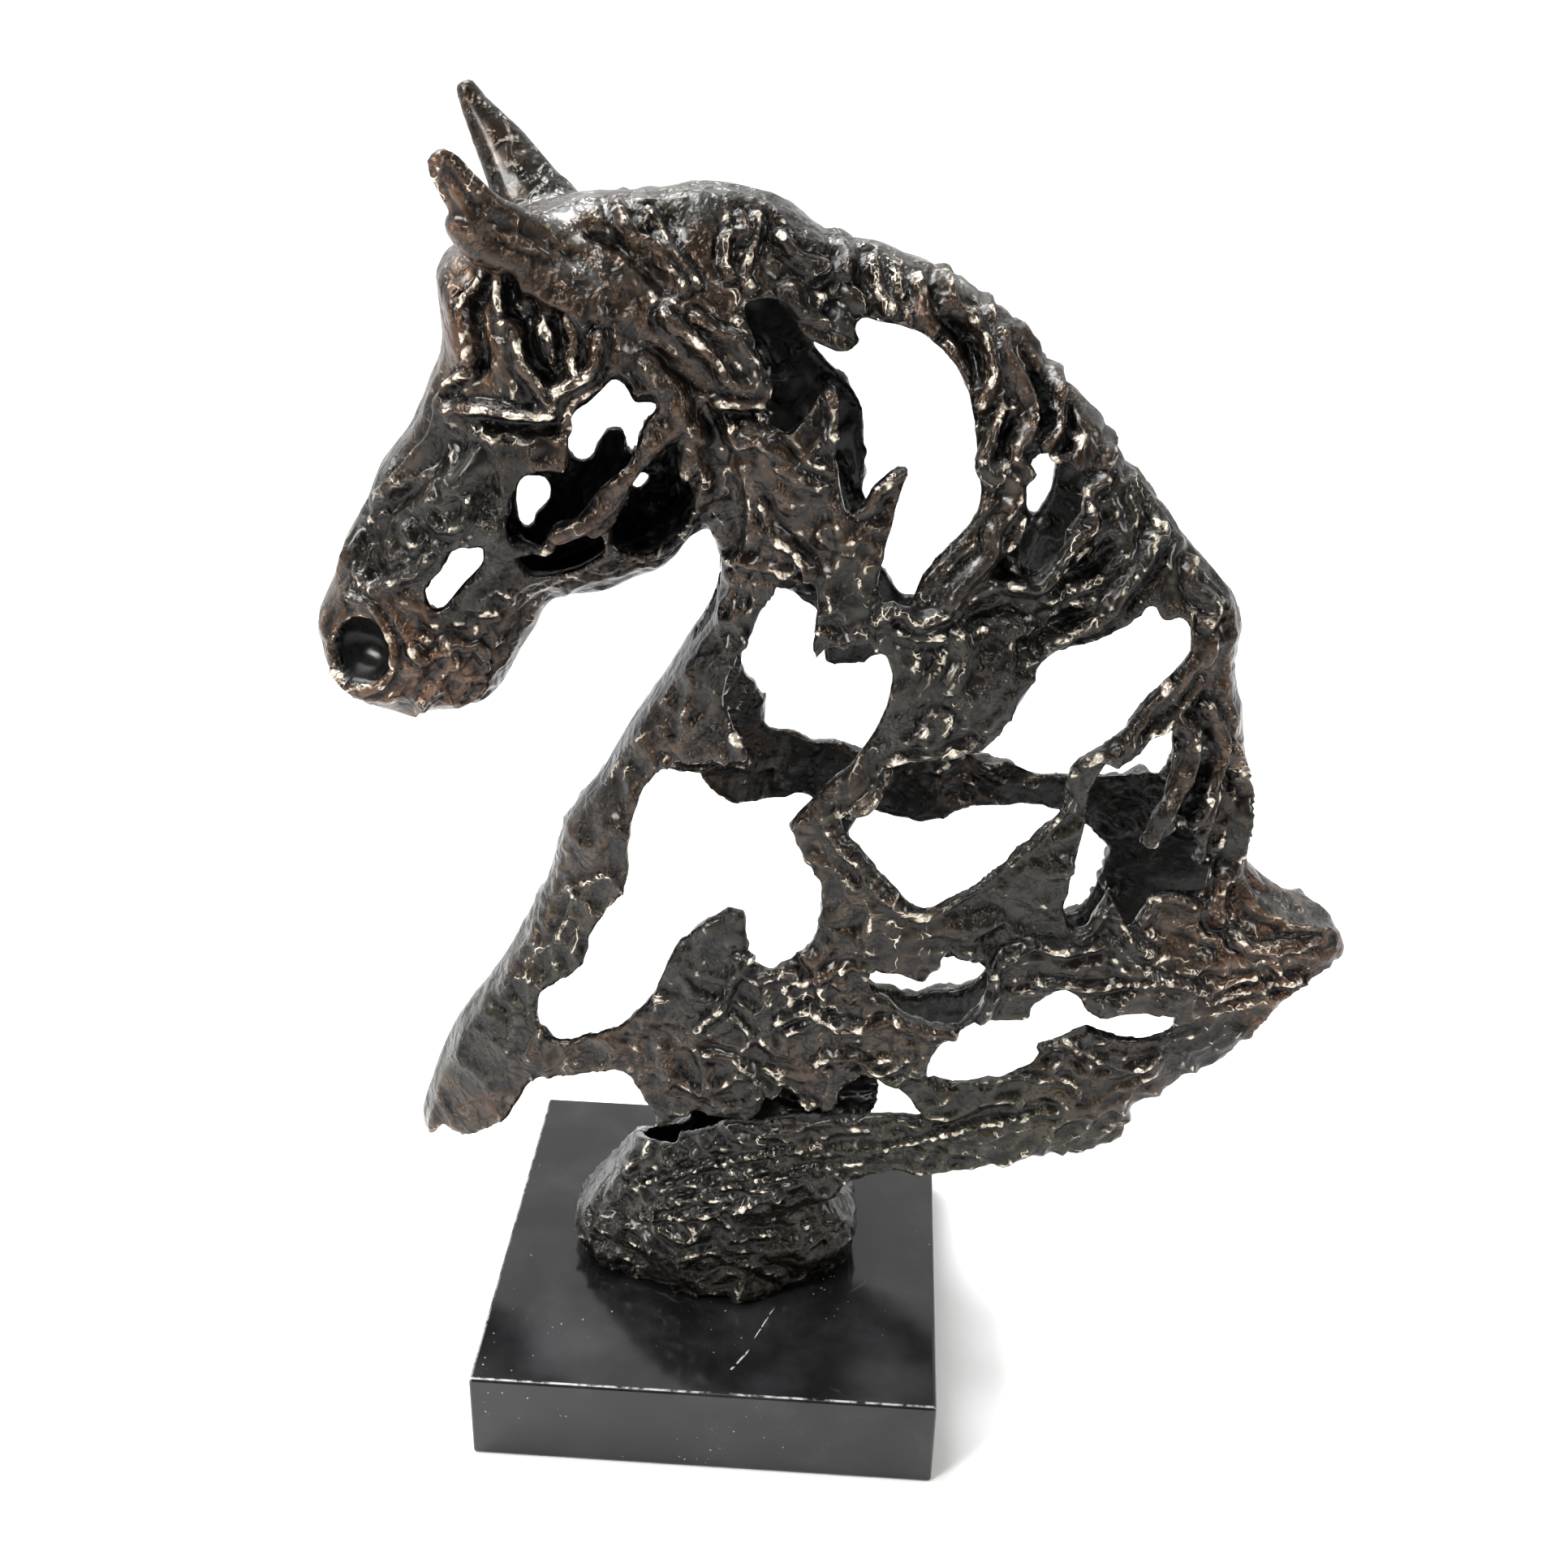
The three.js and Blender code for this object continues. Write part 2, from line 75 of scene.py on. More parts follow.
level = Vector((math.cos(YAW), -math.sin(YAW), 0))
ahead = Vector((math.sin(YAW) * math.cos(PITCH), math.cos(YAW) * math.cos(PITCH), -math.sin(PITCH)))
upward = level.cross(ahead)
camera_right = level * math.cos(ROLL) + upward * math.sin(ROLL)
camera_up = upward * math.cos(ROLL) - level * math.sin(ROLL)

lens = bpy.data.cameras.new("camera")
lens.sensor_width = SENSOR
lens.lens = FOCAL_LENGTH / PICTURE * SENSOR
lens.clip_start = 0.01
camera = bpy.data.objects.new("camera", lens)
turn = Matrix((camera_right, camera_up, -ahead)).transposed().to_4x4()
camera.matrix_world = Matrix.Translation(LENS_PLACE) @ turn
bpy.context.scene.collection.objects.link(camera)
bpy.context.scene.camera = camera
print("lens, mm:", round(lens.lens, 2))


# %% [markdown]
# ## The bronze before it is worked
# In the foundry the wax is joined from parts and smoothed at the joins. Here a copy of the packed
# casting is merged and gets a few added lumps of wax, such as the bead on the keel's rim and the
# toe under the foot. A voxel remesh then melts all of it into one even skin that can be carved.
# The skin is closed wherever the casting is, and open wherever the casting is pierced.

# %% Copy the casting
def shown_mesh(thing):
    """A thing's mesh with its modifiers applied."""
    graph = bpy.context.evaluated_depsgraph_get()
    return bpy.data.meshes.new_from_object(thing.evaluated_get(graph))


def new_piece(name, mesh):
    thing = bpy.data.objects.new(name, mesh)
    bpy.context.scene.collection.objects.link(thing)
    return thing


wax = bmesh.new()
wax.from_mesh(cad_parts["horse_head"].data)
bmesh.ops.remove_doubles(wax, verts=wax.verts, dist=0.02 * MM)
casting = BVHTree.FromBMesh(wax)
print("casting:", len(wax.verts), "points")


# %% Find places on the casting
def ray_through(point):
    """Direction from the lens through a picture point."""
    across = (point[0] - PICTURE / 2) / FOCAL_LENGTH
    down = (point[1] - PICTURE / 2) / FOCAL_LENGTH
    return (ahead + camera_right * across - camera_up * down).normalized()


def smooth_line(points, parts=8):
    """Points close together on a curve through the given ones."""
    ends = [points[0], *points, points[-1]]
    line = []
    for a, b, c, d in zip(ends, ends[1:], ends[2:], ends[3:]):
        a, b, c, d = (np.array(p, float) for p in (a, b, c, d))
        for t in np.linspace(0, 1, parts, endpoint=False):
            line.append(
                0.5 * (2 * b + (c - a) * t + (2 * a - 5 * b + 4 * c - d) * t * t
                       + (3 * b - a - 3 * c + d) * t ** 3)
            )
    return [*line, np.array(points[-1], float)]


def on_casting(points):
    """Places and normals where a drawn line meets the bronze; gaps are left out."""
    found = []
    for point in smooth_line(points):
        place, normal, _, _ = casting.ray_cast(LENS_PLACE, ray_through(point))
        if place:
            found.append((place, normal))
    return found


def place_at(point):
    return casting.ray_cast(LENS_PLACE, ray_through(point))[:2]


NOSTRIL = (442, 804)
print("nostril is at, mm:", [round(v / MM) for v in place_at(NOSTRIL)[0]])

# %% Add lumps of wax
def add_lump(middle, radii):
    """An egg of wax; radii in millimetres along X, Y and Z."""
    size = Matrix.Diagonal((*(r * MM for r in radii), 1))
    bmesh.ops.create_icosphere(wax, subdivisions=3, radius=1, matrix=Matrix.Translation(middle) @ size)


def add_roll(places, radius, thin_ends=True):
    """A roll of wax along places, given its radius in millimetres."""
    path = bpy.data.curves.new("roll", "CURVE")
    path.dimensions = "3D"
    path.bevel_depth = radius * MM
    path.bevel_resolution = 3
    path.use_fill_caps = True
    spline = path.splines.new("POLY")
    spline.points.add(len(places) - 1)
    for i, (point, place) in enumerate(zip(spline.points, places)):
        point.co = (*place, 1)
        end = min(i, len(places) - 1 - i)
        point.radius = min(1, 0.45 + 0.18 * end) if thin_ends else 1
    thing = new_piece("roll", path)
    mesh = shown_mesh(thing)
    wax.from_mesh(mesh)
    bpy.data.objects.remove(thing)


TOE = (915, 1588)
toe_place, toe_normal = place_at(TOE)
add_lump(toe_place - toe_normal * 1.5 * MM, (6, 4.5, 5))

NOSTRIL_RIM = [
    (442, 744), (447, 752), (460, 759), (475, 780), (485, 804), (481, 825), (466, 837),
    (445, 844), (427, 837), (414, 819), (410, 800), (412, 785),
]
rim_line = on_casting(NOSTRIL_RIM)
add_roll([place - normal * 0.4 * MM for place, normal in rim_line], 1.5)

LEAF = [(565, 262), (590, 296), (625, 322), (665, 344), (705, 368), (742, 392)]
leaf_line = on_casting(LEAF)
add_roll([place - normal * 4.0 * MM for place, normal in leaf_line], 7.5)

ROPE = [(682, 664), (700, 652), (722, 640), (745, 620), (765, 596), (790, 570), (812, 548)]
rope_line = on_casting(ROPE)
add_roll([place + normal * 0.2 * MM for place, normal in rope_line], 1.7)

KEEL_RIM = [
    (752, 1405), (768, 1425), (800, 1440), (850, 1424), (905, 1405), (960, 1398), (1010, 1384),
    (1060, 1376), (1110, 1378), (1136, 1381),
]
keel_line = on_casting(KEEL_RIM)
add_roll([place - normal * 0.6 * MM for place, normal in keel_line], 1.9)
print("wax with lumps:", len(wax.verts), "points; keel rim", len(keel_line), "places")

# %% Melt it into one skin
GRAIN = 1.3 * MM
wax_mesh = bpy.data.meshes.new("wax")
wax.to_mesh(wax_mesh)
wax.free()
block = new_piece("wax", wax_mesh)

melt = block.modifiers.new("melt", "REMESH")
melt.mode = "VOXEL"
melt.voxel_size = GRAIN
ease = block.modifiers.new("ease", "SMOOTH")
ease.factor = 0.5
ease.iterations = 3
skin = shown_mesh(block)
bpy.data.objects.remove(block)
print("skin:", len(skin.vertices), "points")


# %% [markdown]
# ## Carving
# The surface of the real one is all small scoops that meet in sharp crests, as a thumb or a loop
# tool leaves them in wax. Cells of a Voronoi pattern have that form: hollow in the middle and
# sharp where two cells meet. Each point of the skin moves along its own normal by the height of
# that pattern. The longer crests, the locks of the mane and the rims are drawn as lines on the
# near side, and stand out of the skin by a stated height. The far side gets the same lines with
# less height, so that it is in keeping and plainer.

# %% Read the skin
count = len(skin.vertices)
points = np.empty(count * 3)
skin.vertices.foreach_get("co", points)
points = points.reshape(-1, 3) / MM
normals = np.empty(count * 3, np.float32)
skin.vertices.foreach_get("normal", normals)
normals = normals.reshape(-1, 3).astype(float)
edges = np.empty(len(skin.edges) * 2, int)
skin.edges.foreach_get("vertices", edges)
edges = edges.reshape(-1, 2)
near_count = np.bincount(edges.ravel(), minlength=count)


def neighbours_mean(values, links, number):
    """Mean over each point's neighbours."""
    mean = np.empty_like(values, dtype=float)
    columns = values.reshape(len(values), -1)
    out = mean.reshape(len(values), -1)
    for i in range(columns.shape[1]):
        total = np.bincount(links[:, 0], columns[links[:, 1], i], len(values))
        total += np.bincount(links[:, 1], columns[links[:, 0], i], len(values))
        out[:, i] = total / np.maximum(number, 1)
    return mean


def soften(values, times, links=edges, number=near_count):
    for _ in range(times):
        values = (values + neighbours_mean(values, links, number)) / 2
    return values


normals = soften(normals, 3)
normals /= np.linalg.norm(normals, axis=1)[:, None]
print("skin read:", count, "points,", len(edges), "edges")

# %% Which points are inside the hollow
HOLLOW_REACH = 75 * MM
skin_tree = BVHTree.FromPolygons(
    [Vector(p) for p in points * MM], [tuple(f.vertices) for f in skin.polygons]
)
inside = np.zeros(count)
for i in range(count):
    normal = Vector(normals[i])
    start = Vector(points[i] * MM) + normal * 0.6 * MM
    if skin_tree.ray_cast(start, normal, HOLLOW_REACH)[0]:
        inside[i] = 1
inside = soften(inside, 6)
print("share inside:", round(float(inside.mean()), 2))

# %% Strokes and scoops all over
# The tool strokes run differently in each region: a place in the picture, how far the region
# reaches, where its strokes point, how much longer than wide they are, the width of a stroke and
# its height, all lengths in millimetres.
STROKES = {
    "forehead": ((625, 420), 26, (640, 520), 2.6, 8.0, 1.6),
    "face": ((500, 610), 30, (440, 700), 1.8, 11.0, 1.8),
    "muzzle": ((480, 810), 26, (540, 840), 1.2, 10.0, 2.4),
    "cheek": ((690, 620), 26, (760, 600), 1.8, 9.0, 1.4),
    "poll": ((780, 330), 26, (850, 420), 2.0, 11.0, 1.8),
    "throat": ((900, 480), 26, (960, 600), 1.8, 9.0, 2.0),
    "upper neck": ((1000, 640), 28, (1040, 730), 1.2, 8.0, 2.6),
    "crest top": ((1020, 290), 26, (1120, 350), 3.0, 9.0, 1.5),
    "crest": ((1200, 440), 28, (1250, 560), 3.4, 8.0, 1.6),
    "crest back": ((1380, 620), 30, (1400, 720), 3.2, 8.0, 1.6),
    "mane": ((1270, 700), 28, (1180, 770), 3.2, 8.5, 2.0),
    "neck strip": ((1170, 850), 24, (1090, 960), 2.4, 9.0, 2.2),
    "withers": ((1500, 960), 28, (1470, 1080), 3.4, 8.0, 1.6),
    "chest": ((790, 1090), 40, (700, 1260), 1.6, 9.0, 1.5),
    "breast": ((980, 1240), 34, (1040, 1300), 1.3, 9.0, 3.2),
    "flank": ((1270, 1110), 34, (1400, 1120), 2.0, 9.0, 2.6),
    "rump": ((1560, 1130), 32, (1620, 1170), 2.0, 9.0, 2.4),
    "keel": ((1080, 1420), 32, (1200, 1390), 3.6, 6.0, 2.8),
    "belly": ((1330, 1350), 32, (1450, 1320), 2.2, 8.0, 2.4),
    "foot": ((880, 1510), 26, (960, 1530), 1.5, 8.0, 2.8),
}
# Each size of scoop: its width, its depth and the height of its crests, in millimetres.
SCOOPS = [(15.0, 1.7, 0.9), (7.6, 0.5, 0.5)]
WAVE = 28.0
WAVE_HEIGHT = 1.0
plinth_top = plinth_high.z / MM

NEAR_WALL = -32 * MM


def on_near_wall(point):
    """Where the ray through a picture point meets the plane of the near wall, in millimetres."""
    direction = ray_through(point)
    return (LENS_PLACE + direction * ((NEAR_WALL - LENS_PLACE.y) / direction.y)) / MM


strokes = []
for start, reach, toward, stretch, width, height in STROKES.values():
    here = on_near_wall(start)
    run = on_near_wall(toward) - here
    strokes.append((here, reach, Vector((run.x, 0, run.z)).normalized(), stretch, width, height))
print("regions of strokes:", len(strokes))


def crest(gap, sharpness):
    return math.exp(-((gap / sharpness) ** 2))


def ridge(place):
    """1 on winding crests, falling on both sides of them."""
    return max(1 - 2.6 * abs(noise.noise(place)), 0)


def stroke_height(place):
    total_weight = 1e-6
    total_height = 0
    for number, (here, reach, run, stretch, width, height) in enumerate(strokes):
        gap = ((place.x - here.x) ** 2 + (place.z - here.z) ** 2) / reach ** 2
        if gap > 5:
            continue
        weight = math.exp(-gap)
        along = place.dot(run)
        drawn = (place - run * (along * (1 - 1 / stretch))) / width + Vector((number, 0, 7))
        wide = ridge(drawn)
        thin = ridge(drawn * 1.9 + Vector((3, 1, 4)))
        total_weight += weight
        total_height += weight * height * (wide ** 1.3 + 0.35 * thin ** 1.5 * (0.4 + wide) - 0.62)
    return total_height / total_weight


noise.seed_set(5)  # without it the bends change from run to run
scoops = np.empty(count)
for i in range(count):
    place = Vector(points[i])
    bent = place + noise.noise_vector(place / 17) * 4.5 + noise.noise_vector(place / 6) * 0.9
    height = WAVE_HEIGHT * noise.noise(place / WAVE) + stroke_height(bent)
    for width, depth, lift in SCOOPS:
        near, next_near = noise.voronoi(bent / width + Vector((width, 3, 5)))[0][:2]
        gap = next_near - near
        strong = min(max(0.35 + 1.6 * noise.noise(place / (width * 1.3) + Vector((9, width, 1))), 0), 1)
        height += strong * (lift * crest(gap, 0.10) - depth * min(gap, 0.55))
    scoops[i] = height
def near_line(found, reach):
    """1 at a line of places on the casting, falling to 0 at a distance from it."""
    places = np.array([place for place, _ in found]) / MM
    close = np.nonzero(
        np.all((points > places.min(0) - reach) & (points < places.max(0) + reach), axis=1)
    )[0]
    share = np.zeros(count)
    gaps = np.linalg.norm(points[close][:, None] - places[None], axis=2).min(1)
    share[close] = np.clip(1.6 * (1 - gaps / reach), 0, 1)
    return share


ears = (points[:, 2] - plinth_top > 340) & (points[:, 0] < -45)
calm = np.where(ears, 0.12, 1.0)
calm *= np.where((normals[:, 0] < -0.55) & (points[:, 0] < -66), 0.4, 1.0)
calm *= 1 - 0.8 * near_line(leaf_line, 10)
# The outline against the light is smoother than the sides.
sideways = np.clip((np.abs(normals[:, 1]) - 0.15) / 0.45, 0, 1)
calm *= 0.4 + 0.6 * sideways
rims = np.clip(soften(inside, 8) * 2.2, 0, 1)
relief = soften(scoops, 1) * soften(calm, 5) * (1 - 0.8 * rims)

# The nostril is a pit pressed into the wall, and its floor goes in with it.
NOSTRIL_BREADTH = 9.5
NOSTRIL_DEPTH = 9.0
pit_place, pit_normal = (np.array(v) for v in place_at(NOSTRIL))


def in_nostril(places):
    """1 in the middle of the nostril, 0 outside it."""
    away = places - pit_place / MM
    beside = np.linalg.norm(away - np.outer(away @ pit_normal, pit_normal), axis=1)
    close_by = np.linalg.norm(away, axis=1) < 2 * NOSTRIL_BREADTH
    return np.where(close_by, np.clip(1 - (beside / NOSTRIL_BREADTH) ** 2, 0, 1) ** 0.7, 0)


pressed = in_nostril(points)
relief *= 1 - np.clip(pressed * 3, 0, 1)
print("scoops, mm:", round(float(relief.min()), 2), "to", round(float(relief.max()), 2))

# %% Crests, locks and rims drawn on the near side
# Each line: half its width and its height in millimetres, then points of the picture.
LINES = {
    "nostril rim": (
        1.3, 1.6,
        [(430, 738), (447, 742), (460, 752), (475, 775), (484, 800), (482, 825), (468, 843), (447, 850), (427, 843), (412, 825)],
    ),
    "hook rim": (
        1.3, 1.8,
        [(1279, 1290), (1300, 1284), (1321, 1286), (1346, 1302), (1375, 1312), (1405, 1313), (1430, 1300)],
    ),
    "hook gouge": (1.6, -2.2, [(1290, 1310), (1310, 1302), (1335, 1318)]),
    "flank lower rim": (1.3, 1.8, [(1150, 1330), (1200, 1334), (1270, 1328), (1321, 1336), (1330, 1350)]),
    "withers rope near": (2.6, 3.0, [(1451, 887), (1473, 913), (1464, 955), (1439, 997), (1420, 1035)]),
    "withers rope middle": (2.2, 2.8, [(1489, 870), (1508, 921), (1489, 980), (1473, 1014)]),
    "withers rope back": (2.4, 3.0, [(1520, 925), (1538, 980), (1527, 1039), (1506, 1089), (1500, 1135)]),
    "withers gouge near": (2.0, -3.0, [(1484, 905), (1480, 963), (1458, 1015)]),
    "withers gouge back": (2.2, -2.8, [(1516, 960), (1510, 1010), (1492, 1060)]),
    "strand ridge": (1.8, 2.4, [(1338, 938), (1380, 925), (1405, 890), (1439, 845)]),
    "strand ridge back": (1.6, 2.2, [(1372, 938), (1415, 905), (1456, 872), (1480, 840)]),
    "panel rim": (1.3, 1.4, [(1220, 1083), (1260, 1055), (1300, 1015), (1318, 985)]),
    "rump ridge": (1.6, 2.4, [(1225, 1190), (1270, 1165), (1321, 1174), (1371, 1165), (1400, 1190)]),
    "rump ridge low": (1.6, 2.4, [(1279, 1207), (1330, 1216), (1371, 1212), (1447, 1211), (1489, 1224)]),
    "rump ridge back": (1.6, 2.2, [(1523, 1160), (1574, 1172), (1625, 1160)]),
    "rump ridge hem": (1.6, 2.2, [(1489, 1236), (1540, 1222), (1600, 1207)]),
    "breast fold": (1.6, 2.4, [(860, 1265), (890, 1240), (905, 1205), (925, 1180)]),
    "breast fold low": (1.6, 2.4, [(870, 1300), (915, 1310), (950, 1345), (1000, 1362)]),
    "breast fold middle": (1.6, 2.4, [(960, 1260), (1000, 1250), (1040, 1270), (1090, 1262)]),
    "breast fold back": (1.6, 2.2, [(1000, 1310), (1040, 1300), (1085, 1320), (1120, 1300)]),
    "keel streak": (1.3, 2.0, [(800, 1455), (860, 1440), (930, 1425), (1010, 1412)]),
    "keel streak middle": (1.3, 2.0, [(840, 1480), (900, 1462), (970, 1448), (1060, 1430)]),
    "keel streak low": (1.3, 2.0, [(790, 1500), (850, 1500), (900, 1490), (960, 1475)]),
    "keel streak back": (1.3, 2.0, [(1080, 1415), (1150, 1400), (1220, 1385), (1300, 1370)]),
    "forehead crest": (1.4, 2.4, [(594, 335), (581, 357), (567, 375), (569, 398), (576, 423), (577, 445)]),
    "forehead gouge": (2.6, -3.2, [(593, 345), (586, 385), (588, 425), (589, 452)]),
    "temple crest": (1.2, 2.0, [(614, 346), (613, 366), (617, 386)]),
    "temple gouge": (2.4, -3.0, [(625, 350), (632, 378), (647, 402)]),
    "lid crest": (
        1.8, 3.0,
        [(620, 400), (634, 400), (636, 417), (640, 433), (646, 454), (657, 469), (669, 489), (678, 500)],
    ),
    "lid fold": (1.8, 2.8, [(680, 486), (700, 475), (713, 468), (729, 457), (734, 440), (737, 414)]),
    "eye crest": (1.4, 2.4, [(697, 394), (704, 414), (700, 437), (706, 460)]),
    "eyeball": (4.0, 2.0, [(672, 420), (676, 425)]),
    "eye hollow front": (2.6, -3.2, [(651, 380), (652, 415), (664, 445), (676, 462)]),
    "eye hollow back": (2.2, -2.8, [(686, 395), (692, 420), (690, 450)]),
    "brow": (1.6, 3.0, [(554, 506), (586, 504), (617, 509), (651, 514), (676, 512)]),
    "brow edge": (1.3, 2.2, [(554, 506), (549, 490), (558, 470), (577, 460)]),
    "under brow": (2.6, -3.0, [(590, 522), (623, 530), (655, 530), (690, 528)]),
    "poll crest": (1.8, 2.4, [(757, 247), (780, 293), (806, 303), (823, 330), (840, 353)]),
    "poll fold": (1.6, 2.2, [(800, 263), (817, 287), (830, 317), (843, 330), (857, 347)]),
    "poll gouge": (3.0, -3.2, [(728, 280), (767, 300), (797, 330), (818, 356)]),
    "poll curl": (1.5, 2.2, [(913, 267), (917, 288), (897, 290), (893, 313), (900, 337)]),
    "poll drop": (1.4, 2.0, [(933, 267), (930, 297), (917, 335), (927, 353)]),
    "poll back": (1.8, 2.6, [(960, 293), (983, 317), (1017, 327), (1003, 337)]),
    "poll knot": (2.6, 2.0, [(975, 357), (979, 362)]),
    "poll knot gouge": (2.6, -2.6, [(1008, 345), (1035, 353), (1027, 380)]),
    "poll low": (1.5, 1.8, [(975, 372), (990, 385), (1017, 397)]),
    "neck leaf low": (1.8, 2.4, [(817, 390), (850, 417), (880, 443), (900, 470), (927, 480), (935, 462)]),
    "neck leaf top": (1.6, 2.2, [(857, 390), (880, 407), (907, 420), (927, 443), (940, 460)]),
    "window rim": (1.4, 1.6, [(910, 395), (933, 430), (947, 463), (946, 493)]),
    "collar ledge": (1.8, 1.8, [(888, 497), (915, 500), (940, 499)]),
    "collar gouge": (1.6, -2.4, [(870, 513), (905, 514), (942, 514)]),
    "collar": (1.6, 2.0, [(897, 522), (900, 547), (925, 545), (953, 530)]),
    "neck channel": (4.0, -3.2, [(868, 500), (884, 560), (897, 613), (895, 670)]),
    "neck pits": (4.0, -2.6, [(783, 413), (812, 437), (850, 460), (866, 490)]),
    "neck thread": (1.6, 2.2, [(940, 623), (957, 660), (987, 687), (1000, 712)]),
    "neck thread back": (1.6, 2.0, [(960, 575), (990, 590), (1013, 600)]),
    "neck hem": (1.6, 1.8, [(893, 690), (925, 694), (955, 702), (985, 715)]),
    "mane A": (2.0, 2.6, [(1073, 320), (1085, 363), (1097, 380)]),
    "mane B": (2.0, 2.6, [(1132, 343), (1140, 387), (1150, 408)]),
    "mane C": (
        2.2, 3.0,
        [(1163, 340), (1175, 378), (1193, 390), (1210, 410), (1220, 433), (1222, 467), (1210, 500)],
    ),
    "mane D": (1.6, 2.0, [(1218, 365), (1223, 400), (1235, 430)]),
    "mane E": (
        2.4, 3.2,
        [(1233, 410), (1247, 453), (1267, 487), (1273, 513), (1260, 540), (1248, 560), (1264, 585)],
    ),
    "mane F": (2.0, 2.6, [(1240, 500), (1220, 540), (1214, 573), (1227, 593), (1236, 575)]),
    "mane G": (2.2, 2.8, [(1300, 440), (1308, 480), (1308, 510), (1300, 535), (1283, 550)]),
    "mane H": (2.4, 3.0, [(1247, 593), (1250, 620), (1227, 653), (1220, 687), (1193, 713), (1170, 743)]),
    "mane I": (1.8, 2.4, [(1257, 640), (1243, 677), (1207, 710)]),
    "mane J": (
        2.0, 2.8,
        [(1360, 593), (1340, 613), (1347, 650), (1323, 670), (1303, 703), (1277, 727), (1247, 720)],
    ),
    "mane K": (1.6, 2.2, [(1353, 713), (1313, 730), (1293, 740)]),
    "mane L": (2.4, 2.8, [(1420, 667), (1413, 693), (1380, 733), (1360, 763), (1320, 780), (1290, 797)]),
    "mane gouge C": (3.0, -2.8, [(1170, 392), (1195, 425), (1205, 462)]),
    "mane gouge E": (2.4, -3.0, [(1263, 420), (1280, 470), (1288, 520)]),
    "mane gouge F": (1.8, -2.6, [(1243, 495), (1241, 535), (1238, 560)]),
    "mane gouge G": (3.0, -2.8, [(1318, 500), (1322, 530), (1310, 553)]),
    "mane gouge I": (4.0, -3.4, [(1290, 655), (1268, 690), (1245, 700)]),
    "mane gouge K": (3.4, -3.0, [(1370, 675), (1345, 700), (1320, 715)]),
    "mane gouge L": (3.4, -3.0, [(1195, 762), (1245, 748), (1290, 765)]),
    "mane gouge M": (3.0, -2.6, [(1330, 760), (1300, 775), (1262, 800)]),
    "withers top": (2.0, 2.6, [(1470, 690), (1470, 720), (1496, 747), (1487, 767)]),
    "strap": (2.0, 2.4, [(1080, 766), (1097, 751), (1117, 758), (1132, 766), (1165, 757)]),
    "strap hem": (1.3, 1.8, [(1108, 779), (1135, 786), (1163, 787)]),
    "brow knob": (3.6, 1.6, [(544, 500), (552, 512)]),
    "nose edge": (
        2.0, 1.6,
        [(538, 519), (526, 546), (505, 567), (478, 600), (457, 615), (442, 648), (430, 675), (418, 702)],
    ),
    "cheek knob": (3.0, 2.0, [(585, 570), (572, 588), (556, 598)]),
    "cheek crest": (1.6, 1.8, [(530, 640), (545, 652), (570, 645), (576, 620), (566, 606)]),
    "nose knob": (2.6, 2.0, [(500, 655), (508, 668)]),
    "nose crest": (1.8, 1.8, [(460, 726), (490, 714), (512, 705), (527, 690)]),
    "lip crest": (1.6, 1.7, [(508, 803), (524, 813), (540, 806), (560, 794)]),
    "jaw crest": (1.6, 1.8, [(553, 790), (572, 798), (592, 798), (600, 822)]),
    "chin crest": (1.6, 1.6, [(518, 868), (530, 850), (546, 832), (560, 815)]),
    "jaw loop": (1.6, 1.7, [(586, 750), (600, 728), (614, 724), (628, 738), (618, 748), (590, 756)]),
    "cheek rope": (
        2.6, 1.6,
        [(680, 662), (705, 655), (740, 635), (760, 600), (790, 565), (830, 530)],
    ),
    "cheek rope back": (1.4, 1.3, [(690, 676), (722, 664), (752, 640), (775, 605), (806, 572)]),
    "cheek rim": (1.8, 1.6, [(625, 650), (645, 670), (675, 680), (700, 668)]),
    "jaw rim": (1.8, 1.8, [(760, 680), (800, 685), (840, 660), (862, 620), (866, 585), (850, 550)]),
    "jaw knob": (3.2, 1.8, [(852, 566), (848, 580)]),
    "ear edge": (1.6, 1.0, [(553, 225), (575, 260), (620, 290), (660, 305), (700, 330), (735, 365)]),
    "ear root": (1.8, 1.4, [(605, 330), (645, 340), (690, 360), (740, 390)]),
    "neck knots": (2.4, 1.8, [(800, 450), (812, 470), (835, 482), (842, 520), (866, 545)]),
    "spur rim": (
        1.7, 1.5,
        [(1020, 470), (1030, 510), (1030, 560), (1045, 615), (1060, 630), (1085, 605), (1115, 580)],
    ),
    "spur face": (2.0, 1.8, [(900, 545), (930, 540), (960, 560), (985, 590), (1010, 602)]),
    "mane lock 13": (2.2, 2.2, [(1030, 290), (1045, 320), (1040, 350), (1060, 372)]),
    "mane lock 14": (2.2, 2.2, [(1240, 360), (1262, 400), (1290, 430), (1320, 445)]),
    "mane lock 15": (2.2, 2.2, [(1330, 440), (1350, 490), (1372, 530), (1365, 570)]),
    "mane lock 16": (2.2, 2.2, [(1395, 540), (1400, 590), (1425, 630), (1430, 660)]),
    "neck strip": (2.0, 1.8, [(1183, 782), (1187, 815), (1169, 848)]),
    "swirl": (
        1.8, 1.6, [(1139, 907), (1150, 881), (1169, 888), (1161, 910), (1143, 921), (1139, 907)],
    ),
    "elbow": (
        1.8, 1.7,
        [(1033, 1006), (1066, 995), (1084, 976), (1099, 943), (1128, 936), (1154, 930), (1200, 918)],
    ),
    "breast rim": (
        1.6, 1.4,
        [(1022, 1028), (1051, 1061), (1084, 1101), (1117, 1127), (1136, 1130), (1176, 1112), (1220, 1083)],
    ),
    "chest panel": (
        1.7, 1.5, [(897, 881), (908, 914), (921, 940), (890, 943), (853, 947), (820, 940)],
    ),
    "belly crest": (
        1.8, 1.7,
